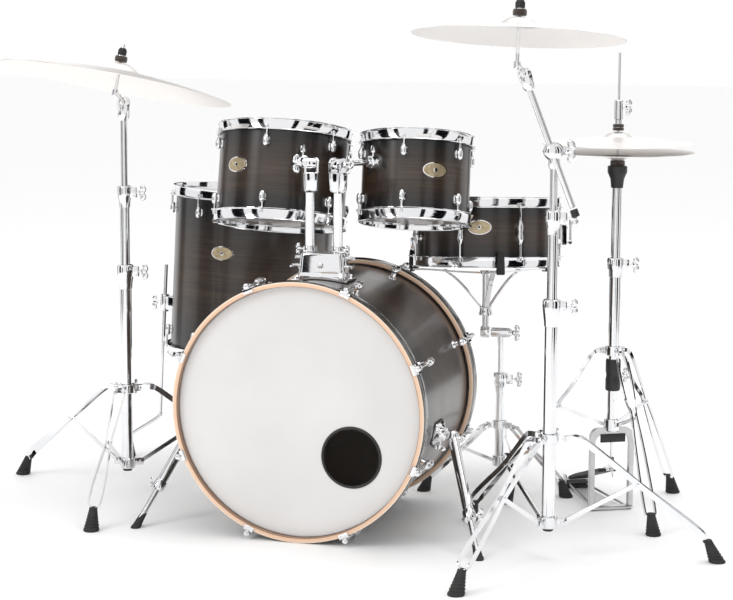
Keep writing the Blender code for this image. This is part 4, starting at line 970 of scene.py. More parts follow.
def bent_bar(piece, points, radius, level, finish=0, sides=16, steps=5):
    """A round bar through points that lie in one plane; level is square to that plane."""
    run, rings = flow(points, steps), []
    for i, point in enumerate(run):
        ahead = (run[min(i + 1, len(run) - 1)] - run[max(i - 1, 0)]).normalized()
        across = level.cross(ahead)
        rings.append([point + across * radius * math.cos(2.0 * math.pi * k / sides)
                      + level * radius * math.sin(2.0 * math.pi * k / sides) for k in range(sides)])
    skin(piece, rings, finish=finish)


leg_grips = Piece("floor_tom_leg_brackets", chrome, nylon)
for number, angle in enumerate((180.0, 300.0, 60.0), 1):
    spin = floor_place @ Matrix.Rotation(math.radians(angle), 4, "Z")
    axis = spin.to_3x3() @ UP
    drop = (spin @ Vector((LEG_CIRCLE + TURNOUT, 0.0, 0.0))).z / axis.z
    ground = spin @ Vector((LEG_CIRCLE + TURNOUT, 0.0, -drop))
    path = [spin @ Vector((LEG_CIRCLE + x, 0.0, -z)) for x, z in (
        (0.0, 0.0), (0.0, drop - 0.150), (0.0, drop - 0.128), (0.010, drop - 0.110),
        (TURNOUT - 0.010, drop - 0.066),
        (TURNOUT, drop - 0.052), (TURNOUT, drop - 0.020))]
    leg = Piece("floor_tom_leg_%d_rod" % number, chrome, rubber, nylon)
    bent_bar(leg, path, LEG_R, spin.to_3x3() @ Vector((0.0, 1.0, 0.0)))
    rod(leg, path[0] - axis * 0.001, path[0] + axis * 0.0004, LEG_R * 0.98, 2)
    foot(leg, (ground.x, ground.y, 0.0), (ground.x, ground.y, 0.045), 0.0148, 0.0090, ribs=6)
    fit(leg, "floor_leg_%d" % number, "chrome", "floor_tom_leg_%d" % number)
    seat = spin @ Matrix.Translation((FLOOR["radius"], 0.0, -0.100)) @ Matrix.Rotation(math.pi / 2.0, 4, "Y")
    cast(leg_grips, [(-0.001, 0.0250, 0.0160, 0.006), (0.0014, 0.0250, 0.0160, 0.006)], seat, 1)
    cast(leg_grips, [(0.001, 0.0235, 0.0148, 0.006), (0.006, 0.0230, 0.0142, 0.006),
                     (0.012, 0.0190, 0.0110, 0.005),
                     (0.030, 0.0185, 0.0105, 0.005)], seat)
    lathe(leg_grips, [(LEG_R + 0.0005, -0.122), (0.0105, -0.122), (0.0118, -0.118), (0.0118, -0.082),
                      (0.0105, -0.078),
                      (LEG_R + 0.0005, -0.078)], spin @ Matrix.Translation((LEG_CIRCLE, 0.0, 0.0)), 28)
    wing(leg_grips, spin @ Vector((LEG_CIRCLE + 0.019, 0.0, -0.100)), spin.to_3x3() @ Vector((1.0, 0.0, 0.0)),
         1.05)
fit(leg_grips, "kit", "chrome")


# ---- snare drum and its stand ------------------------------------------------------------
# A shallow drum with eight double lugs, a strainer with its throw-off lever and twenty wires
# under the lower head. It sits in a tilting three-armed basket on a telescoping tripod.
SNARE = dict(centre=(0.257, 0.719, 0.635), lean=(-0.285, 0.958), radius=0.1778, high=0.1397, flange=0.0145,
             tilt=5.5)
snare_place = drum_place(SNARE["centre"], SNARE["lean"], SNARE["tilt"])
STRAINER_TURN, SNARE_HALF = 16.5, SNARE["high"] / 2.0
dress("snare", SNARE, snare_place, 112, 8, STRAINER_TURN + 22.5, double_lug, 0.0, (-82.0, 0.012))
spin = snare_place @ Matrix.Rotation(math.radians(STRAINER_TURN), 4, "Z")
outwards = Matrix.Rotation(math.pi / 2.0, 4, "Y")
strainer = Piece("snare_strainer_and_butt", chrome, nylon)
cast(strainer, [(0.0, 0.034, 0.0175, 0.005), (0.003, 0.034, 0.0175, 0.005), (0.005, 0.031, 0.0150, 0.005),
                (0.019, 0.029, 0.0135, 0.005), (0.0225, 0.026, 0.0120, 0.004)],
     spin @ Matrix.Translation((SNARE["radius"] - 0.001, 0.0, -0.008)) @ outwards)
knob = spin @ Matrix.Translation((0.1905, 0.0, 0.026))
lathe(strainer, [(0.0, 0.0), (0.0035, 0.0), (0.0035, 0.010), (0.0085, 0.010), (0.0090, 0.012),
                 (0.0090, 0.020), (0.0080, 0.022),
                 (0.0, 0.022)], knob, 24)
cast(strainer, [(0.0, 0.018, 0.0150, 0.005), (0.003, 0.018, 0.0150, 0.005), (0.010, 0.014, 0.0110, 0.004)],
     spin @ Matrix.Rotation(math.pi, 4, "Z") @ Matrix.Translation((SNARE["radius"] - 0.001, 0.0,
     -0.030)) @ outwards)
for s in (-1.0, 1.0):
    pebble(strainer, spin @ Matrix.Translation((SNARE["radius"] + 0.0225, 0.0, -0.008 + s * 0.018)),
           (0.0022, 0.004, 0.004), sides=12)
fit(strainer, "snare", "chrome")
lever = Piece("snare_throw_lever", chrome, nylon)
hinge = spin @ Matrix.Translation((0.2085, 0.0, -0.026))
rod(lever, hinge @ Vector((0.0, -0.0085, 0.0)), hinge @ Vector((0.0, 0.0085, 0.0)), 0.0046)
cast(lever, [(-0.004, 0.0024, 0.0060, 0.002), (0.010, 0.0026, 0.0062, 0.002), (0.030, 0.0024, 0.0050, 0.002),
             (0.050, 0.0030, 0.0064, 0.002), (0.058, 0.0026, 0.0060, 0.002), (0.060, 0.0018, 0.0045, 0.0015)],
     hinge @ Matrix.Translation((0.001, 0.0, 0.0)))
fit(lever, "strainer_lever", "chrome", "snare_strainer_lever")

steel = finish("drawn_steel", 0.3, 1.0)
steel.feed(steel.shader["Base Color"], ramp(steel, cloud(steel, 40.0), (0.3, (0.52, 0.52, 0.53)),
                                            (0.7, (0.68, 0.68, 0.69))))
steel.feed(steel.shader["Roughness"], 0.22 + cloud(steel, 120.0) * 0.16)
relief(steel, cloud(steel, 900.0, 2.0), 0.0001, 0.5)
wires = Piece("snare_wire_set", steel)
WIRES, WIRE_HALF_LENGTH, WIRE_HALF_SPREAD, WIRE_Z = 20, 0.134, 0.0205, -SNARE_HALF - 0.0030
strand = Piece("strand", steel)
TURNS = 64
twist = [(WIRE_HALF_LENGTH * (2.0 * i / TURNS - 1.0), 0.0005 if i % 2 else 0.0007) for i in range(TURNS + 1)]
lathe(strand, [(0.0, -WIRE_HALF_LENGTH)] + [(r, x) for x, r in twist] + [(0.0, WIRE_HALF_LENGTH)], outwards,
      6)
row_of(wires, strand, WIRES, (0.0, -WIRE_HALF_SPREAD, WIRE_Z), (0.0, WIRE_HALF_SPREAD, WIRE_Z), spin)
for s in (-1.0, 1.0):
    block(wires, (0.018, 0.0445, 0.0015), spin @ Matrix.Translation((s * 0.1405, 0.0, WIRE_Z)), ease=0.0003)
fit(wires, "snare", "wire", "snare_wires")

SNARE_POLE, JOINT_Z = Vector((0.303, 0.700, 0.0)), 0.3865
axis = snare_place.to_3x3() @ UP
joint = Vector(SNARE["centre"]) - axis * ((SNARE["centre"][2] - JOINT_Z) / axis.z)
bar_end = SNARE_POLE + UP * JOINT_Z
level_run = (joint - bar_end).normalized()
rim = -SNARE_HALF - 0.0164
HUB, HOOP_OUT = -0.196, SNARE["radius"] + SNARE["flange"]
basket = Piece("snare_basket_arms", chrome, rubber)
rod(basket, joint + axis * 0.004, snare_place @ Vector((0.0, 0.0, rim - 0.011)), 0.0083, sides=24)
lathe(basket, [(0.0, HUB - 0.013), (0.0150, HUB - 0.013), (0.0170, HUB - 0.011), (0.0170, HUB - 0.004),
               (0.0150, HUB - 0.001),
               (0.0150, HUB + 0.006), (0.0165, HUB + 0.008), (0.0150, HUB + 0.012), (0.0, HUB + 0.012)],
               snare_place, 28)
lathe(basket, [(0.0, -0.0115), (0.0140, -0.0115), (0.0150, -0.0100), (0.0150, 0.0100), (0.0140, 0.0115),
               (0.0, 0.0115)],
      facing(joint, level_run), 28)
lathe(basket, [(0.0, rim - 0.020), (0.0125, rim - 0.020), (0.0140, rim - 0.017), (0.0140, rim - 0.010),
               (0.0, rim - 0.009)],
      snare_place, 28)
for angle in (-66.5, 53.5, 173.5):
    plane = snare_place @ Matrix.Rotation(math.radians(angle), 4, "Z")
    level = rim - 0.0085
    strip(basket, [(0.0, rim - 0.016), (0.080, level - 0.005), (0.150, level - 0.001),
                   (HOOP_OUT + 0.004, level - 0.0015)], 0.0022,
          -0.0070, 0.0070, plane)
    strip(basket, [(0.004, HUB), (0.045, -0.150), (0.078, -0.118), (0.110, level - 0.002)], 0.0018, -0.0056,
          0.0056, plane)
    rod(basket, plane @ Vector((0.108, -0.0085, level - 0.003)),
        plane @ Vector((0.108, 0.0085, level - 0.003)), 0.0036, sides=14)
    cast(basket, [(level - 0.007, 0.0050, 0.0085, 0.003), (level - 0.004, 0.0060, 0.0100, 0.003),
                  (level + 0.010, 0.0046, 0.0100, 0.003),
                  (level + 0.034, 0.0040, 0.0090, 0.003), (level + 0.046, 0.0036, 0.0075, 0.003),
                  (level + 0.049, 0.0024, 0.0050, 0.002)],
         plane @ Matrix.Translation((HOOP_OUT + 0.0062, 0.0, 0.0)), 1)
    lip = level + 0.0040
    cast(basket, [(HOOP_OUT - 0.010, 0.0022, 0.0085, 0.002), (HOOP_OUT + 0.006, 0.0026, 0.0095, 0.002)],
         plane @ Matrix.Translation((0.0, 0.0, lip - 0.0005)) @ outwards, 1)
fit(basket, "snare", "chrome", "snare_basket")


# ---- tripods and telescoping tubes -------------------------------------------------------
# Chromed steel tubes that slide in each other, on double-braced legs: two flat bars a leg,
# riveted to a sliding collar above and to a single brace in their middle, with ribbed feet.
def upright(pole, angle):
    """The vertical plane through a pole at an angle: local X out, local Z up."""
    return Matrix.Translation(pole) @ Matrix.Rotation(math.radians(angle), 4, "Z")


def tube(piece, pole, low, high, outer, wall=0.0016, finish=0):
    lathe(piece, [(outer - wall, low), (outer, low), (outer, high - 0.0006), (outer - 0.0006, high),
                  (outer - wall, high)],
          Matrix.Translation(pole), 36, finish)


TEE_TURN = 10.0


def stage_clamp(piece, pole, low, high, outer, bore):
    """The tapered casting that closes on the next tube, with its hinged bolt and wing."""
    seat = upright(pole, TEE_TURN)
    top = high - 0.004
    lathe(piece, [(bore, low), (outer + 0.0004, low), (outer + 0.0016, low + 0.001),
                  (outer + 0.0022, low + 0.012),
                  (outer + 0.0036, low + 0.022), (outer + 0.0050, high - 0.026),
                  (outer + 0.0056, high - 0.018),
                  (outer + 0.0056, top), (outer + 0.0040, high - 0.001), (outer + 0.0022, high),
                  (bore, high)], seat, 36)
    grip = seat @ Matrix.Translation((outer + 0.0100, 0.0, high - 0.0165))
    for s in (-1.0, 1.0):
        block(piece, (0.017, 0.0052, 0.024), grip @ Matrix.Translation((0.0, s * 0.0040, 0.0)), ease=0.0014)
    for z in (-0.0065, 0.0065):
        rod(piece, grip @ Vector((0.0030, -0.0085, z)), grip @ Vector((0.0030, 0.0085, z)), 0.0028, sides=12)
    turn = grip.to_3x3()
    rod(piece, grip @ Vector((0.0040, 0.0, 0.0)), grip @ Vector((0.0200, 0.0, 0.0)), 0.0030, sides=14)
    wing(piece, grip @ Vector((0.0150, 0.0, 0.0)), turn @ Vector((1.0, 0.0, 0.0)), 1.05)


def collar(piece, pole, height, bore, angles, half=0.011, ears=True):
    """A sliding collar; its ears sit between the two bars of each leg."""
    lathe(piece, [(bore, height - half), (bore + 0.0046, height - half),
                  (bore + 0.0058, height - half + 0.0016),
                  (bore + 0.0058, height + half - 0.0016), (bore + 0.0046, height + half),
                  (bore, height + half)],
          Matrix.Translation(pole), 36)
    for angle in angles if ears else ():
        plane = upright(pole, angle)
        ear = [(bore + 0.003, height - 0.008), (bore + 0.019, height - 0.008)] + [
            (bore + 0.019 + 0.008 * math.sin(math.pi * k / 8.0), height - 0.008 * math.cos(math.pi * k / 8.0))
            for k in range(1, 8)] + [(bore + 0.019, height + 0.008), (bore + 0.003, height + 0.008)]
        plate(piece, ear, -0.0029, 0.0029, plane)


def rivet(piece, plane, out, up, half):
    """A rivet through a leg's two bars, with a low domed head on each side."""
    rod(piece, plane @ Vector((out, -half, up)), plane @ Vector((out, half, up)), 0.0030, sides=14)
    for s in (-1.0, 1.0):
        pebble(piece, plane @ Matrix.Translation((out, s * half, up)), (0.0048, 0.0018, 0.0048), sides=14)


def leg_bars(piece, plane, path, half_width, rivet_share, bow=0.0100):
    """The two flat bars of a leg. They stand apart between the collar, the rivet and the foot."""
    run = flow([(x, 0.0, z) for x, z in path], 5)
    last = len(run) - 1
    for side in (-1.0, 1.0):
        rings = []
        for i, point in enumerate(run):
            ahead = (run[min(i + 1, last)] - run[max(i - 1, 0)]).normalized()
            normal = Vector((-ahead.z, 0.0, ahead.x))
            share = i / last
            swell = share / rivet_share if share < rivet_share else (share - rivet_share) / (1.0 - rivet_share)
            middle = side * (0.0049 + bow * math.sin(math.pi * swell))
            rings.append([plane @ (point + normal * half_width * u + Vector((0.0, middle + 0.0015 * v, 0.0)))
                          for u, v in ((-1, -1), (1, -1), (1, 1), (-1, 1))])
        skin(piece, rings)


def leg_foot(piece, plane, reach, wide, narrow, finish=1):
    foot(piece, plane @ Vector((reach[0], 0.0, 0.0)), plane @ Vector((reach[1], 0.0, reach[2])), wide, narrow,
         finish)


STAND_LEG = [(0.030, 0.264), (0.058, 0.265), (0.088, 0.250), (0.208, 0.156), (0.322, 0.070), (0.340, 0.046)]
STAND_FOOT, STAND_COLLAR, LOW_COLLAR, RIVET_AT, PIVOT_OUT = (0.366, 0.343, 0.050), 0.264, 0.080, (0.190,
    0.168), 0.030
BASE_R, MID_R, TOP_R = 0.0143, 0.0111, 0.0080
FIRST_CLAMP, SECOND_CLAMP = (0.508, 0.567), (0.705, 0.758)
LEG_WIDE, LEG_NARROW, RIVET_SHARE = 0.0184, 0.0108, 0.58


def low_collar(piece, pole, angles):
    """The fixed collar near the floor, with a fork for each brace."""
    lathe(piece, [(BASE_R - 0.001, 0.067), (0.0180, 0.067), (0.0198, 0.069), (0.0198, 0.091), (0.0180, 0.093),
                  (BASE_R - 0.001, 0.093)],
          Matrix.Translation(pole), 36)
    lathe(piece, [(0.0, 0.060), (0.0100, 0.060), (0.0125, 0.064), (0.0125, 0.070), (0.0, 0.070)],
          Matrix.Translation(pole), 28, 1)
    for angle in angles:
        plane = upright(pole, angle)
        for s in (-1.0, 1.0):
            block(piece, (0.026, 0.0030, 0.016), plane @ Matrix.Translation((0.0275, s * 0.0040, LOW_COLLAR)),
                  ease=0.0009)
        rivet(piece, plane, PIVOT_OUT + 0.002, LOW_COLLAR, 0.0058)


def brace(piece, plane, start, end, half_width):
    strip(piece, [start, end], half_width, -0.0015, 0.0015, plane, steps=2)
    for out, up in (start, end):
        pebble(piece, plane @ Matrix.Translation((out, 0.0, up)),
               (half_width * 1.2, 0.0015, half_width * 1.2), sides=16)


def mid_tube(prefix, pole):
    middle = Piece(prefix + "_middle_tube", chrome)
    tube(middle, pole, 0.330, SECOND_CLAMP[0] + 0.020, MID_R)
    stage_clamp(middle, pole, *SECOND_CLAMP, MID_R, TOP_R + 0.0005)
    fit(middle, prefix + "_mid", "chrome", prefix + "_mid_tube")


RIDE_POLE, RIDE_LEGS = Vector((-0.542, 0.322, 0.0)), (160.0, 280.0, 40.0)
CRASH_POLE, CRASH_LEGS = Vector((0.560, 0.050, 0.0)), (-108.9, 11.1, 131.1)
for prefix, pole, legs in (("ride", RIDE_POLE, RIDE_LEGS), ("crash", CRASH_POLE, CRASH_LEGS)):
    base = Piece(prefix + "_stand_base", chrome, rubber)
    tube(base, pole, 0.069, FIRST_CLAMP[0] + 0.020, BASE_R)
    stage_clamp(base, pole, *FIRST_CLAMP, BASE_R, MID_R + 0.0005)
    low_collar(base, pole, legs)
    slider = base if prefix == "crash" else Piece("ride_sliding_collar", chrome)
    collar(slider, pole, STAND_COLLAR, BASE_R + 0.0007, legs)
    wing(slider, upright(pole, TEE_TURN + 60.0) @ Vector((BASE_R + 0.010, 0.0, STAND_COLLAR)),
         upright(pole, TEE_TURN + 60.0).to_3x3() @ Vector((1.0, 0.0, 0.0)), 1.0)
    for number, angle in enumerate(legs, 1):
        plane = upright(pole, angle)
        leg = base if prefix == "crash" else Piece("ride_leg_%d_bars" % number, chrome, rubber)
        leg_bars(leg, plane, STAND_LEG, 0.0060, RIVET_SHARE)
        leg_foot(leg, plane, STAND_FOOT, LEG_WIDE, LEG_NARROW)
        rivet(leg, plane, PIVOT_OUT + 0.003, STAND_COLLAR, 0.0066)
        rivet(leg, plane, *RIVET_AT, 0.0068)
        stay = base if prefix == "crash" else Piece("ride_brace_%d_bar" % number, chrome)
        brace(stay, plane, (PIVOT_OUT + 0.002, LOW_COLLAR), RIVET_AT, 0.0050)
        if prefix == "ride":
            fit(leg, "ride_leg_%d" % number, "chrome", "ride_leg_%d" % number)
            fit(stay, "ride_brace_%d" % number, "chrome", "ride_brace_%d" % number)
    fit(base, "kit", "chrome", prefix + "_base_tube")
    if prefix == "ride":
        fit(slider, "ride_collar", "chrome", "ride_leg_collar")
    mid_tube(prefix, pole)

SMALL_TUBE, SNARE_LEGS, SNARE_SHAFT = 0.0127, (216.5, 336.5, 96.5), 0.0095
base = Piece("snare_stand_tripod", chrome, rubber)
tube(base, SNARE_POLE, 0.052, 0.255, SMALL_TUBE)
stage_clamp(base, SNARE_POLE, 0.236, 0.286, SMALL_TUBE, SNARE_SHAFT + 0.0006)
collar(base, SNARE_POLE, 0.155, SMALL_TUBE - 0.0001, SNARE_LEGS)
collar(base, SNARE_POLE, 0.063, SMALL_TUBE - 0.0001, SNARE_LEGS, half=0.013, ears=False)
for angle in SNARE_LEGS:
    plane = upright(SNARE_POLE, angle)
    leg_bars(base, plane, [(0.026, 0.155), (0.050, 0.146), (0.092, 0.108), (0.176, 0.046), (0.186, 0.034)],
             0.0045, 0.52, 0.0062)
    leg_foot(base, plane, (0.204, 0.188, 0.040), 0.0170, 0.0095)
    rivet(base, plane, 0.030, 0.155, 0.0064)
    rivet(base, plane, 0.100, 0.102, 0.0064)
    brace(base, plane, (0.014, 0.063), (0.100, 0.102), 0.0040)
fit(base, "kit", "chrome", "snare_stand_base")
upper = Piece("snare_stand_shaft", chrome, nylon)
rod(upper, SNARE_POLE + UP * 0.100, bar_end - UP * 0.002, SNARE_SHAFT, sides=28)
rod(upper, bar_end - level_run * 0.018, joint - level_run * 0.0150, 0.0128, sides=28)
pebble(upper, Matrix.Translation(bar_end - level_run * 0.018), (0.0124,) * 3, sides=20)
wing(upper, bar_end - level_run * 0.030, -level_run, 1.1)
fit(upper, "snare_tube", "chrome", "snare_stand_tube")


# ---- cymbals and their tilters -----------------------------------------------------------
# Thin hammered bronze discs with a raised bell, lathed in fine rings. Each hangs loosely
# between two felts on a threaded rod, on a toothed tilter at the top of its stand.
felt = finish("felt", 0.95, constants={"Sheen Weight": 0.4})
felt.feed(felt.shader["Base Color"], ramp(felt, cloud(felt, 160.0, 5.0), (0.3, (0.020, 0.014, 0.011)),
                                          (0.7, (0.062, 0.044, 0.034))))
relief(felt, cloud(felt, 900.0, 4.0), 0.0006, 0.8)


def bronze(name, place):
    """Pale bright bronze with lathing rings about the cymbal's own axis."""
    net = finish(name, 0.3, 0.72)
    spot, height = drum_space(net, place)
    flat = net.node("ShaderNodeVectorMath", {"operation": "MULTIPLY"}, {0: spot, 1: (1.0, 1.0, 0.0)})
    out = net.node("ShaderNodeVectorMath", {"operation": "LENGTH"}, {0: flat}, "Value")
    groove = (out * 2600.0).math("SINE", out * 2600.0, 0.0) * 0.5 + 0.5
    broad = net.node("ShaderNodeTexNoise", inputs={"Vector": net.node("ShaderNodeCombineXYZ",
        inputs={0: out * 95.0}), "Detail": 4.0})
    tone = ramp(net, broad * 0.75 + groove * 0.10 + cloud(net, 6.0) * 0.15, (0.25, (0.90, 0.862, 0.830)),
                (0.75, (1.0, 0.975, 0.955)))
    net.feed(net.shader["Base Color"], tone)
    net.feed(net.shader["Roughness"], 0.30 + broad * 0.20)
    relief(net, groove * 0.6 + cloud(net, 26.0, 1.0) * 2.0, 0.00012, 0.45)
    return net


def cymbal_disc(piece, place, radius, rise, bell):
    """A bowed sheet from its edge up to the bell's hole."""
    shoulder, sheet, hole = rise * 0.55, 0.0013, 0.0070
    top = []
    for i in range(9):
        r = hole + (bell - hole) * i / 8.0
        top.append((r, shoulder + (rise - shoulder) * (0.5 + 0.5 * math.cos(math.pi * ((r - hole) / (bell - hole)) ** 1.25))))
    for i in range(1, 15):
        share = i / 14.0
        top.append((bell + (radius - bell) * share, shoulder * (1.0 - share ** 1.35)))
    under = [(r - (0.0004 if r == radius else 0.0), z - sheet) for r, z in reversed(top)]
    lathe(piece, top + under, place, 128)


def cymbal_place(centre, normal):
    return Matrix.Translation(centre) @ normal.to_track_quat("Z", "Y").to_matrix().to_4x4()


def tilter(piece, pivot, frame_at, base, normal, bell):
    """Barrel and neck, then the rod with its seat, felts and wing nut about the bell."""
    level = frame_at.to_3x3() @ Vector((0.0, 1.0, 0.0))
    lathe(piece, [(0.0, -0.0106), (0.0108, -0.0106), (0.0115, -0.0096), (0.0115, 0.0096), (0.0108, 0.0106),
                  (0.0, 0.0106)],
          facing(pivot, level), 28)
    rod(piece, pivot, base, 0.0060)
    seat = cymbal_place(base, normal)
    lathe(piece, [(0.0, -0.0070), (0.0066, -0.0070), (0.0074, -0.0055), (0.0074, 0.0075), (0.0060, 0.0085),
                  (0.0, 0.0085)], seat, 24)
    lathe(piece, [(0.0, 0.0), (0.0039, 0.0), (0.0039, bell + 0.0445), (0.0032, bell + 0.0458),
                  (0.0, bell + 0.0458)], seat, 20)
    lathe(piece, [(0.0030, bell - 0.0135), (0.0118, bell - 0.0135), (0.0126, bell - 0.0128),
                  (0.0126, bell - 0.0112), (0.0030, bell - 0.0112)], seat, 28)
    lathe(piece, [(0.0030, bell - 0.0112), (0.0128, bell - 0.0112), (0.0133, bell - 0.0090),
                  (0.0118, bell - 0.0046), (0.0030, bell - 0.0044)], seat, 28, 1)
    lathe(piece, [(0.0030, bell + 0.0030), (0.0138, bell + 0.0030), (0.0150, bell + 0.0048),
                  (0.0150, bell + 0.0140),
                  (0.0138, bell + 0.0160), (0.0030, bell + 0.0160)], seat, 32, 1)
    lathe(piece, [(0.0030, bell + 0.0162), (0.0125, bell + 0.0162), (0.0125, bell + 0.0178),
                  (0.0030, bell + 0.0178)], seat, 28)
    nut = Piece("rib", nylon)
    lathe(nut, [(0.0, 0.0), (0.0010, 0.0), (0.0012, 0.0006), (0.0012, 0.0120), (0.0, 0.0130)],
          Matrix.Translation((0.0092, 0.0, 0.0)), 8)
    lathe(piece, [(0.0030, bell + 0.0180), (0.0096, bell + 0.0180), (0.0098, bell + 0.0200),
                  (0.0090, bell + 0.0330),
                  (0.0074, bell + 0.0360), (0.0030, bell + 0.0360)], seat, 28, 2)
    ring_of(piece, nut, 14, 0.0, 0.0, 0.0, seat @ Matrix.Translation((0.0, 0.0, bell + 0.0190)), 2)


def fork_top(piece, frame_at, drop=0.030):
    """The cast fork that grips a tilter's barrel, with its bolt and wing."""
    cast(piece, [(-drop - 0.014, 0.0090, 0.0110, 0.008), (-drop - 0.006, 0.0110, 0.0158, 0.006),
                 (-drop + 0.006, 0.0112, 0.0162, 0.005),
                 (-drop + 0.0095, 0.0105, 0.0158, 0.005)], frame_at)
    cheek = [(-0.0100, -0.026), (0.0100, -0.026)] + [(0.0122 * math.cos(math.pi * k / 10.0),
                                                      0.0122 * math.sin(math.pi * k / 10.0))
                                                    for k in range(11)]
    for s in (-1.0, 1.0):
        plate(piece, cheek, s * 0.0115, s * 0.0159, frame_at)
    across = frame_at.to_3x3() @ Vector((0.0, 1.0, 0.0))
    way = 1.0 if across.x > 0.0 else -1.0
    lathe(piece, [(0.0, 0.0), (0.0075, 0.0), (0.0068, 0.0035), (0.0, 0.0042)],
          facing(frame_at @ Vector((0.0, -way * 0.0159, 0.0)), -across * way), 6)
    wing(piece, frame_at @ Vector((0.0, way * 0.0185, 0.0)), across * way, 1.1, stem=0.003)


RIDE_R, CRASH_R, HAT_R, TRIM = 0.2794, 0.2286, 0.1778, 0.9935
RIDE_PIVOT, RIDE_NORMAL = Vector((-0.542, 0.322, 0.958)), Vector((0.126, 0.180, 0.9755)).normalized()
neck = Vector((-0.020, -0.003, 0.022))
level = UP.cross(neck).normalized()
ride_frame = Matrix.Translation(RIDE_PIVOT) @ Matrix((level.cross(UP).normalized(), level,
                                                      UP)).transposed().to_4x4()
upper = Piece("ride_top_tube", chrome)
rod(upper, RIDE_POLE + UP * 0.575, RIDE_POLE + UP * 0.930, TOP_R, sides=28)
fork_top(upper, ride_frame)
fit(upper, "ride_upper", "chrome", "ride_upper_tube")
top = Piece("ride_tilter_and_felts", chrome, felt, nylon)
tilter(top, RIDE_PIVOT, ride_frame, RIDE_PIVOT + neck, RIDE_NORMAL, 0.072)
fit(top, "ride_tilter", "chrome", "ride_tilter")
place = cymbal_place(RIDE_PIVOT + neck + RIDE_NORMAL * 0.022, RIDE_NORMAL)
disc = Piece("ride_bronze", bronze("ride_lathed_bronze", place))
cymbal_disc(disc, place, RIDE_R * TRIM, 0.050, 0.062)
fit(disc, "ride_cymbal", "cymbal_bronze", "ride_cymbal")

BALL, CRASH_PIVOT = Vector((0.560, 0.050, 0.884)), Vector((0.4965, 0.028, 1.0465))
CRASH_NORMAL = Vector((0.0137, 0.1115, 0.9937)).normalized()
upper = Piece("crash_top_tube", chrome, nylon)
rod(upper, CRASH_POLE + UP * 0.575, CRASH_POLE + UP * 0.872, TOP_R, sides=28)
lathe(upper, [(0.0, -0.0090), (0.0192, -0.0090), (0.0204, -0.0080), (0.0204, -0.0020), (0.0190, 0.0050),
              (0.0150, 0.0100),
              (0.0080, 0.0125), (0.0, 0.0130)], facing(BALL, (0.0, 1.0, 0.0)), 40)
lathe(upper, [(0.0, 0.846), (0.0105, 0.846), (0.0120, 0.850), (0.0120, 0.868), (0.0, 0.872)],
      Matrix.Translation(CRASH_POLE), 32)
wing(upper, BALL + Vector((0.0225, 0.004, 0.0)), (1.0, 0.05, 0.0), 1.35, stem=0.014)
fit(upper, "crash_upper", "chrome", "crash_upper_tube")
pivot = Vector((BALL.x, CRASH_PIVOT.y, BALL.z))
heading = (CRASH_PIVOT - pivot).normalized()
level = Vector((0.0, 1.0, 0.0))
aim = Matrix.Translation(CRASH_PIVOT) @ Matrix((level.cross(heading).normalized(), level,
                                                heading)).transposed().to_4x4()
boom = Piece("crash_boom", chrome, nylon)
rod(boom, pivot - heading * 0.126, pivot + heading * 0.136, 0.0066, sides=24)
lathe(boom, [(0.0, 0.0094), (0.0204, 0.0094), (0.0204, 0.0160), (0.0196, 0.0215), (0.0170, 0.0275),
             (0.0110, 0.0320), (0.0, 0.0330)],
      facing(BALL, (0.0, -1.0, 0.0)), 40)
fork_top(boom, aim, 0.0225)
lathe(boom, [(0.0, 0.0), (0.0078, 0.0), (0.0085, 0.002), (0.0085, 0.016), (0.0, 0.018)],
      facing(pivot - heading * 0.130, -heading), 24, 1)
fit(boom, "crash_arm", "chrome", "crash_boom_arm")
top = Piece("crash_tilter_and_felts", chrome, felt, nylon)
base_at = CRASH_PIVOT + Vector((-0.0165, 0.006, 0.0165))
tilter(top, CRASH_PIVOT, aim, base_at, CRASH_NORMAL, 0.102)
fit(top, "crash_tilter", "chrome", "crash_tilter")
place = cymbal_place(base_at + CRASH_NORMAL * 0.060, CRASH_NORMAL)
disc = Piece("crash_bronze", bronze("crash_lathed_bronze", place))
cymbal_disc(disc, place, CRASH_R * TRIM, 0.042, 0.052)
fit(disc, "crash_cymbal", "cymbal_bronze", "crash_cymbal")


# ---- hi-hat stand and its cymbals --------------------------------------------------------
# Two cymbals face each other. The lower rests on a felt on the tube, and the upper is clamped
# to a rod that runs down the tube to a chain and a hinged footboard in a cast frame.
HAT_POLE, HAT_LEGS, BOARD_TURN, HAT_BASE_R = Vector((0.615, 0.524, 0.0)), (-57.5, 62.5, 182.5), 120.0, 0.0137
HAT_LEG = [(0.030, 0.385), (0.052, 0.372), (0.100, 0.292), (0.135, 0.240), (0.226, 0.062), (0.236, 0.044)]
HEEL, FRAME_HALF = 0.250, 0.054
plane = upright(HAT_POLE, BOARD_TURN)
stand = Piece("hihat_stand", chrome, rubber, nylon, aluminium, steel)
tube(stand, HAT_POLE, 0.200, 0.580, HAT_BASE_R)
stage_clamp(stand, HAT_POLE, 0.560, 0.606, HAT_BASE_R, MID_R + 0.0006)
collar(stand, HAT_POLE, 0.385, HAT_BASE_R - 0.0001, HAT_LEGS)
collar(stand, HAT_POLE, 0.207, HAT_BASE_R - 0.0001, HAT_LEGS, half=0.014, ears=False)
lathe(stand, [(HAT_BASE_R - 0.0002, 0.290), (0.0165, 0.290), (0.0178, 0.293), (0.0178, 0.318),
              (0.0166, 0.321), (0.0166, 0.331),
              (0.0178, 0.334), (0.0178, 0.361), (0.0165, 0.365), (HAT_BASE_R - 0.0002, 0.365)],
              Matrix.Translation(HAT_POLE), 36, 2)
wing(stand, upright(HAT_POLE, TEE_TURN) @ Vector((0.0215, 0.0, 0.327)), (1.0, 0.17, 0.0), 1.0, stem=0.006)
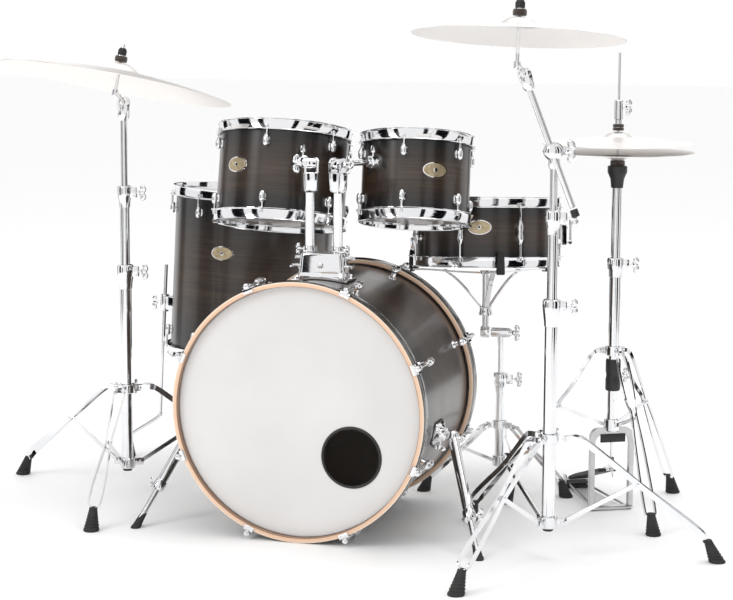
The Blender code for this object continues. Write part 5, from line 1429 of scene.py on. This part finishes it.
for angle in HAT_LEGS:
    side = upright(HAT_POLE, angle)
    leg_bars(stand, side, HAT_LEG, 0.0045, 0.58, 0.0080)
    leg_foot(stand, side, (0.254, 0.238, 0.048), LEG_WIDE * 0.97, LEG_NARROW)
    brace(stand, side, (0.0165, 0.206), (0.128, 0.245), 0.0045)
    rivet(stand, side, 0.033, 0.385, 0.0066)
    rivet(stand, side, 0.128, 0.245, 0.0066)
arch = [(-FRAME_HALF, 0.004), (-FRAME_HALF, 0.176)] + [
    (-FRAME_HALF + 0.022 - 0.022 * math.cos(math.pi * k / 12.0),
     0.178 + 0.022 * math.sin(math.pi * k / 12.0)) for k in range(1, 7)]
arch += [(-x, z) for x, z in reversed(arch)]
inner = [(x * 0.80, z - 0.016 if z > 0.17 else z) for x, z in arch]
turned = plane @ Matrix.Rotation(math.pi / 2.0, 4, "Z")
skin(stand, [[turned @ Vector((x, y, z)) for (x, z), y in ((arch[i], -0.0075), (arch[i], 0.0075),
    (inner[i], 0.0075),
                                                           (inner[i], -0.0075))] for i in range(len(arch))],
                                                           finish=3)
block(stand, (0.020, 2.0 * FRAME_HALF, 0.008), plane @ Matrix.Translation((0.0, 0.0, 0.0062)), 3)
block(stand, (0.004, 0.062, 0.020), plane @ Matrix.Translation((-0.0085, 0.0, 0.176)), 2, ease=0.0008)
for s in (-1.0, 1.0):
    rod(stand, plane @ Vector((0.0, s * 0.040, 0.0075)), plane @ Vector((HEEL - 0.010, s * 0.022, 0.0100)),
        0.0029, 4, 12)
    rod(stand, plane @ Vector((0.0, s * (FRAME_HALF - 0.008), 0.0)),
        plane @ Vector((0.0, s * (FRAME_HALF - 0.008), 0.010)), 0.0065, 1, 16)
    block(stand, (0.016, 0.006, 0.030), plane @ Matrix.Translation((HEEL - 0.016, s * 0.0345, 0.0220)), 0,
          ease=0.0014)
cast(stand, [(0.0015, 0.034, 0.036, 0.010), (0.010, 0.034, 0.036, 0.010), (0.0135, 0.031, 0.033, 0.009)],
     plane @ Matrix.Translation((HEEL + 0.010, 0.0, 0.0)), 2, corner=6)
groove = Piece("tread", rubber)
block(groove, (0.050, 0.0026, 0.0016), Matrix.Identity(4), ease=0.0004)
row_of(stand, groove, 9, (HEEL + 0.010, -0.026, 0.0140), (HEEL + 0.010, 0.026, 0.0140), plane, 1)
fit(stand, "kit", "chrome", "hihat_base_stand")

board = Piece("hihat_pedal_board", nylon, chrome, rubber)
TOE, HINGE_Z = 0.012, 0.026
strip(board, [(TOE, 0.094), (0.060, 0.083), (0.120, 0.064), (0.180, 0.046), (HEEL - 0.016, HINGE_Z)], 0.0036,
      -0.0265, 0.0265, plane, 0)
tread = Piece("tread", rubber)
block(tread, (0.0022, 0.044, 0.0022), Matrix.Identity(4), ease=0.0005)
row_of(board, tread, 15, (0.028, 0.0, 0.0945), (0.170, 0.0, 0.0530), plane, 2)
lathe(board, [(0.0, -0.030), (0.0060, -0.030), (0.0065, -0.029), (0.0065, 0.029), (0.0060, 0.030),
              (0.0, 0.030)],
      facing(plane @ Vector((HEEL - 0.016, 0.0, HINGE_Z)), plane.to_3x3() @ Vector((0.0, 1.0, 0.0))), 24, 1)
block(board, (0.020, 0.020, 0.008), plane @ Matrix.Translation((TOE + 0.004, 0.0, 0.097)), 1, ease=0.001)
fit(board, "footboard", "chrome", "hihat_footboard")

sleeve = Piece("hihat_upper_sleeve", chrome, felt, nylon)
tube(sleeve, HAT_POLE, 0.420, 0.795, MID_R)
lathe(sleeve, [(MID_R - 0.0016, 0.770), (MID_R + 0.0028, 0.770), (MID_R + 0.0048, 0.790), (0.0205, 0.801),
               (0.0228, 0.806), (0.0228, 0.8195),
               (0.0215, 0.821), (MID_R - 0.0016, 0.821)], Matrix.Translation(HAT_POLE), 36, 2)
lathe(sleeve, [(0.0052, 0.8205), (0.0160, 0.8205), (0.0170, 0.822), (0.0170, 0.8320), (0.0160, 0.8338),
               (0.0052, 0.8338)],
      Matrix.Translation(HAT_POLE), 32, 1)
fit(sleeve, "hat_upper", "chrome", "hihat_upper_tube")

link = Piece("link", steel)
oval = [(0.0032 * math.cos(2.0 * math.pi * k / 12.0), 0.0052 * math.sin(2.0 * math.pi * k / 12.0)) for k in range(12)]
skin(link, [[Vector((x * s, y, z * (1.0 + (s - 1.0) * 0.6))) for y,
             s in ((-0.0009, 1.0), (0.0009, 1.0), (0.0009, 0.55), (-0.0009, 0.55))]
            for x, z in oval], loop=True)
pull = Piece("hihat_pull_rod_and_clutch", chrome, felt, nylon, steel)
rod(pull, HAT_POLE + UP * 0.112, HAT_POLE + UP * 1.0845, 0.0029, sides=16)
lathe(pull, [(0.0, 0.108), (0.0062, 0.108), (0.0072, 0.111), (0.0072, 0.124), (0.0060, 0.128), (0.0, 0.128)],
      Matrix.Translation(HAT_POLE), 6, 2)
row_of(pull, link, 4, (0.0, 0.0, 0.1085), (0.004, 0.0, 0.0840), Matrix.Translation(HAT_POLE), 3,
       twist=math.pi / 2.0)
for low, high, r, look in ((0.8825, 0.8862, 0.0108, 0), (0.9035, 0.9100, 0.0130, 1),
                           (0.9102, 0.9118, 0.0124, 0), (0.9118, 0.9180, 0.0130, 1),
                           (0.9180, 0.9300, 0.0080, 0), (0.9290, 0.9740, 0.0100, 0)):
    ease = min(0.0010, (high - low) * 0.3)
    lathe(pull, [(0.0, low), (r - ease, low), (r, low + ease), (r, high - ease), (r - ease, high),
                 (0.0, high)],
          Matrix.Translation(HAT_POLE), 28, look)
wing(pull, HAT_POLE + Vector((0.0135, 0.002, 0.958)), (1.0, 0.2, 0.0), 1.05, stem=0.006)
fit(pull, "hat_rod", "chrome", "hihat_pull_rod")
for name, edge, normal, rise, body in (("hihat_cymbal_bottom", 0.853, -UP, 0.018, "hat_upper"),
                                       ("hihat_cymbal_top", 0.873, UP, 0.027, "hat_rod")):
    place = cymbal_place(HAT_POLE + UP * edge, normal)
    disc = Piece(name + "_bronze", bronze(name + "_lathed_bronze", place))
    cymbal_disc(disc, place, HAT_R * TRIM, rise, 0.040)
    fit(disc, body, "cymbal_bronze", name)
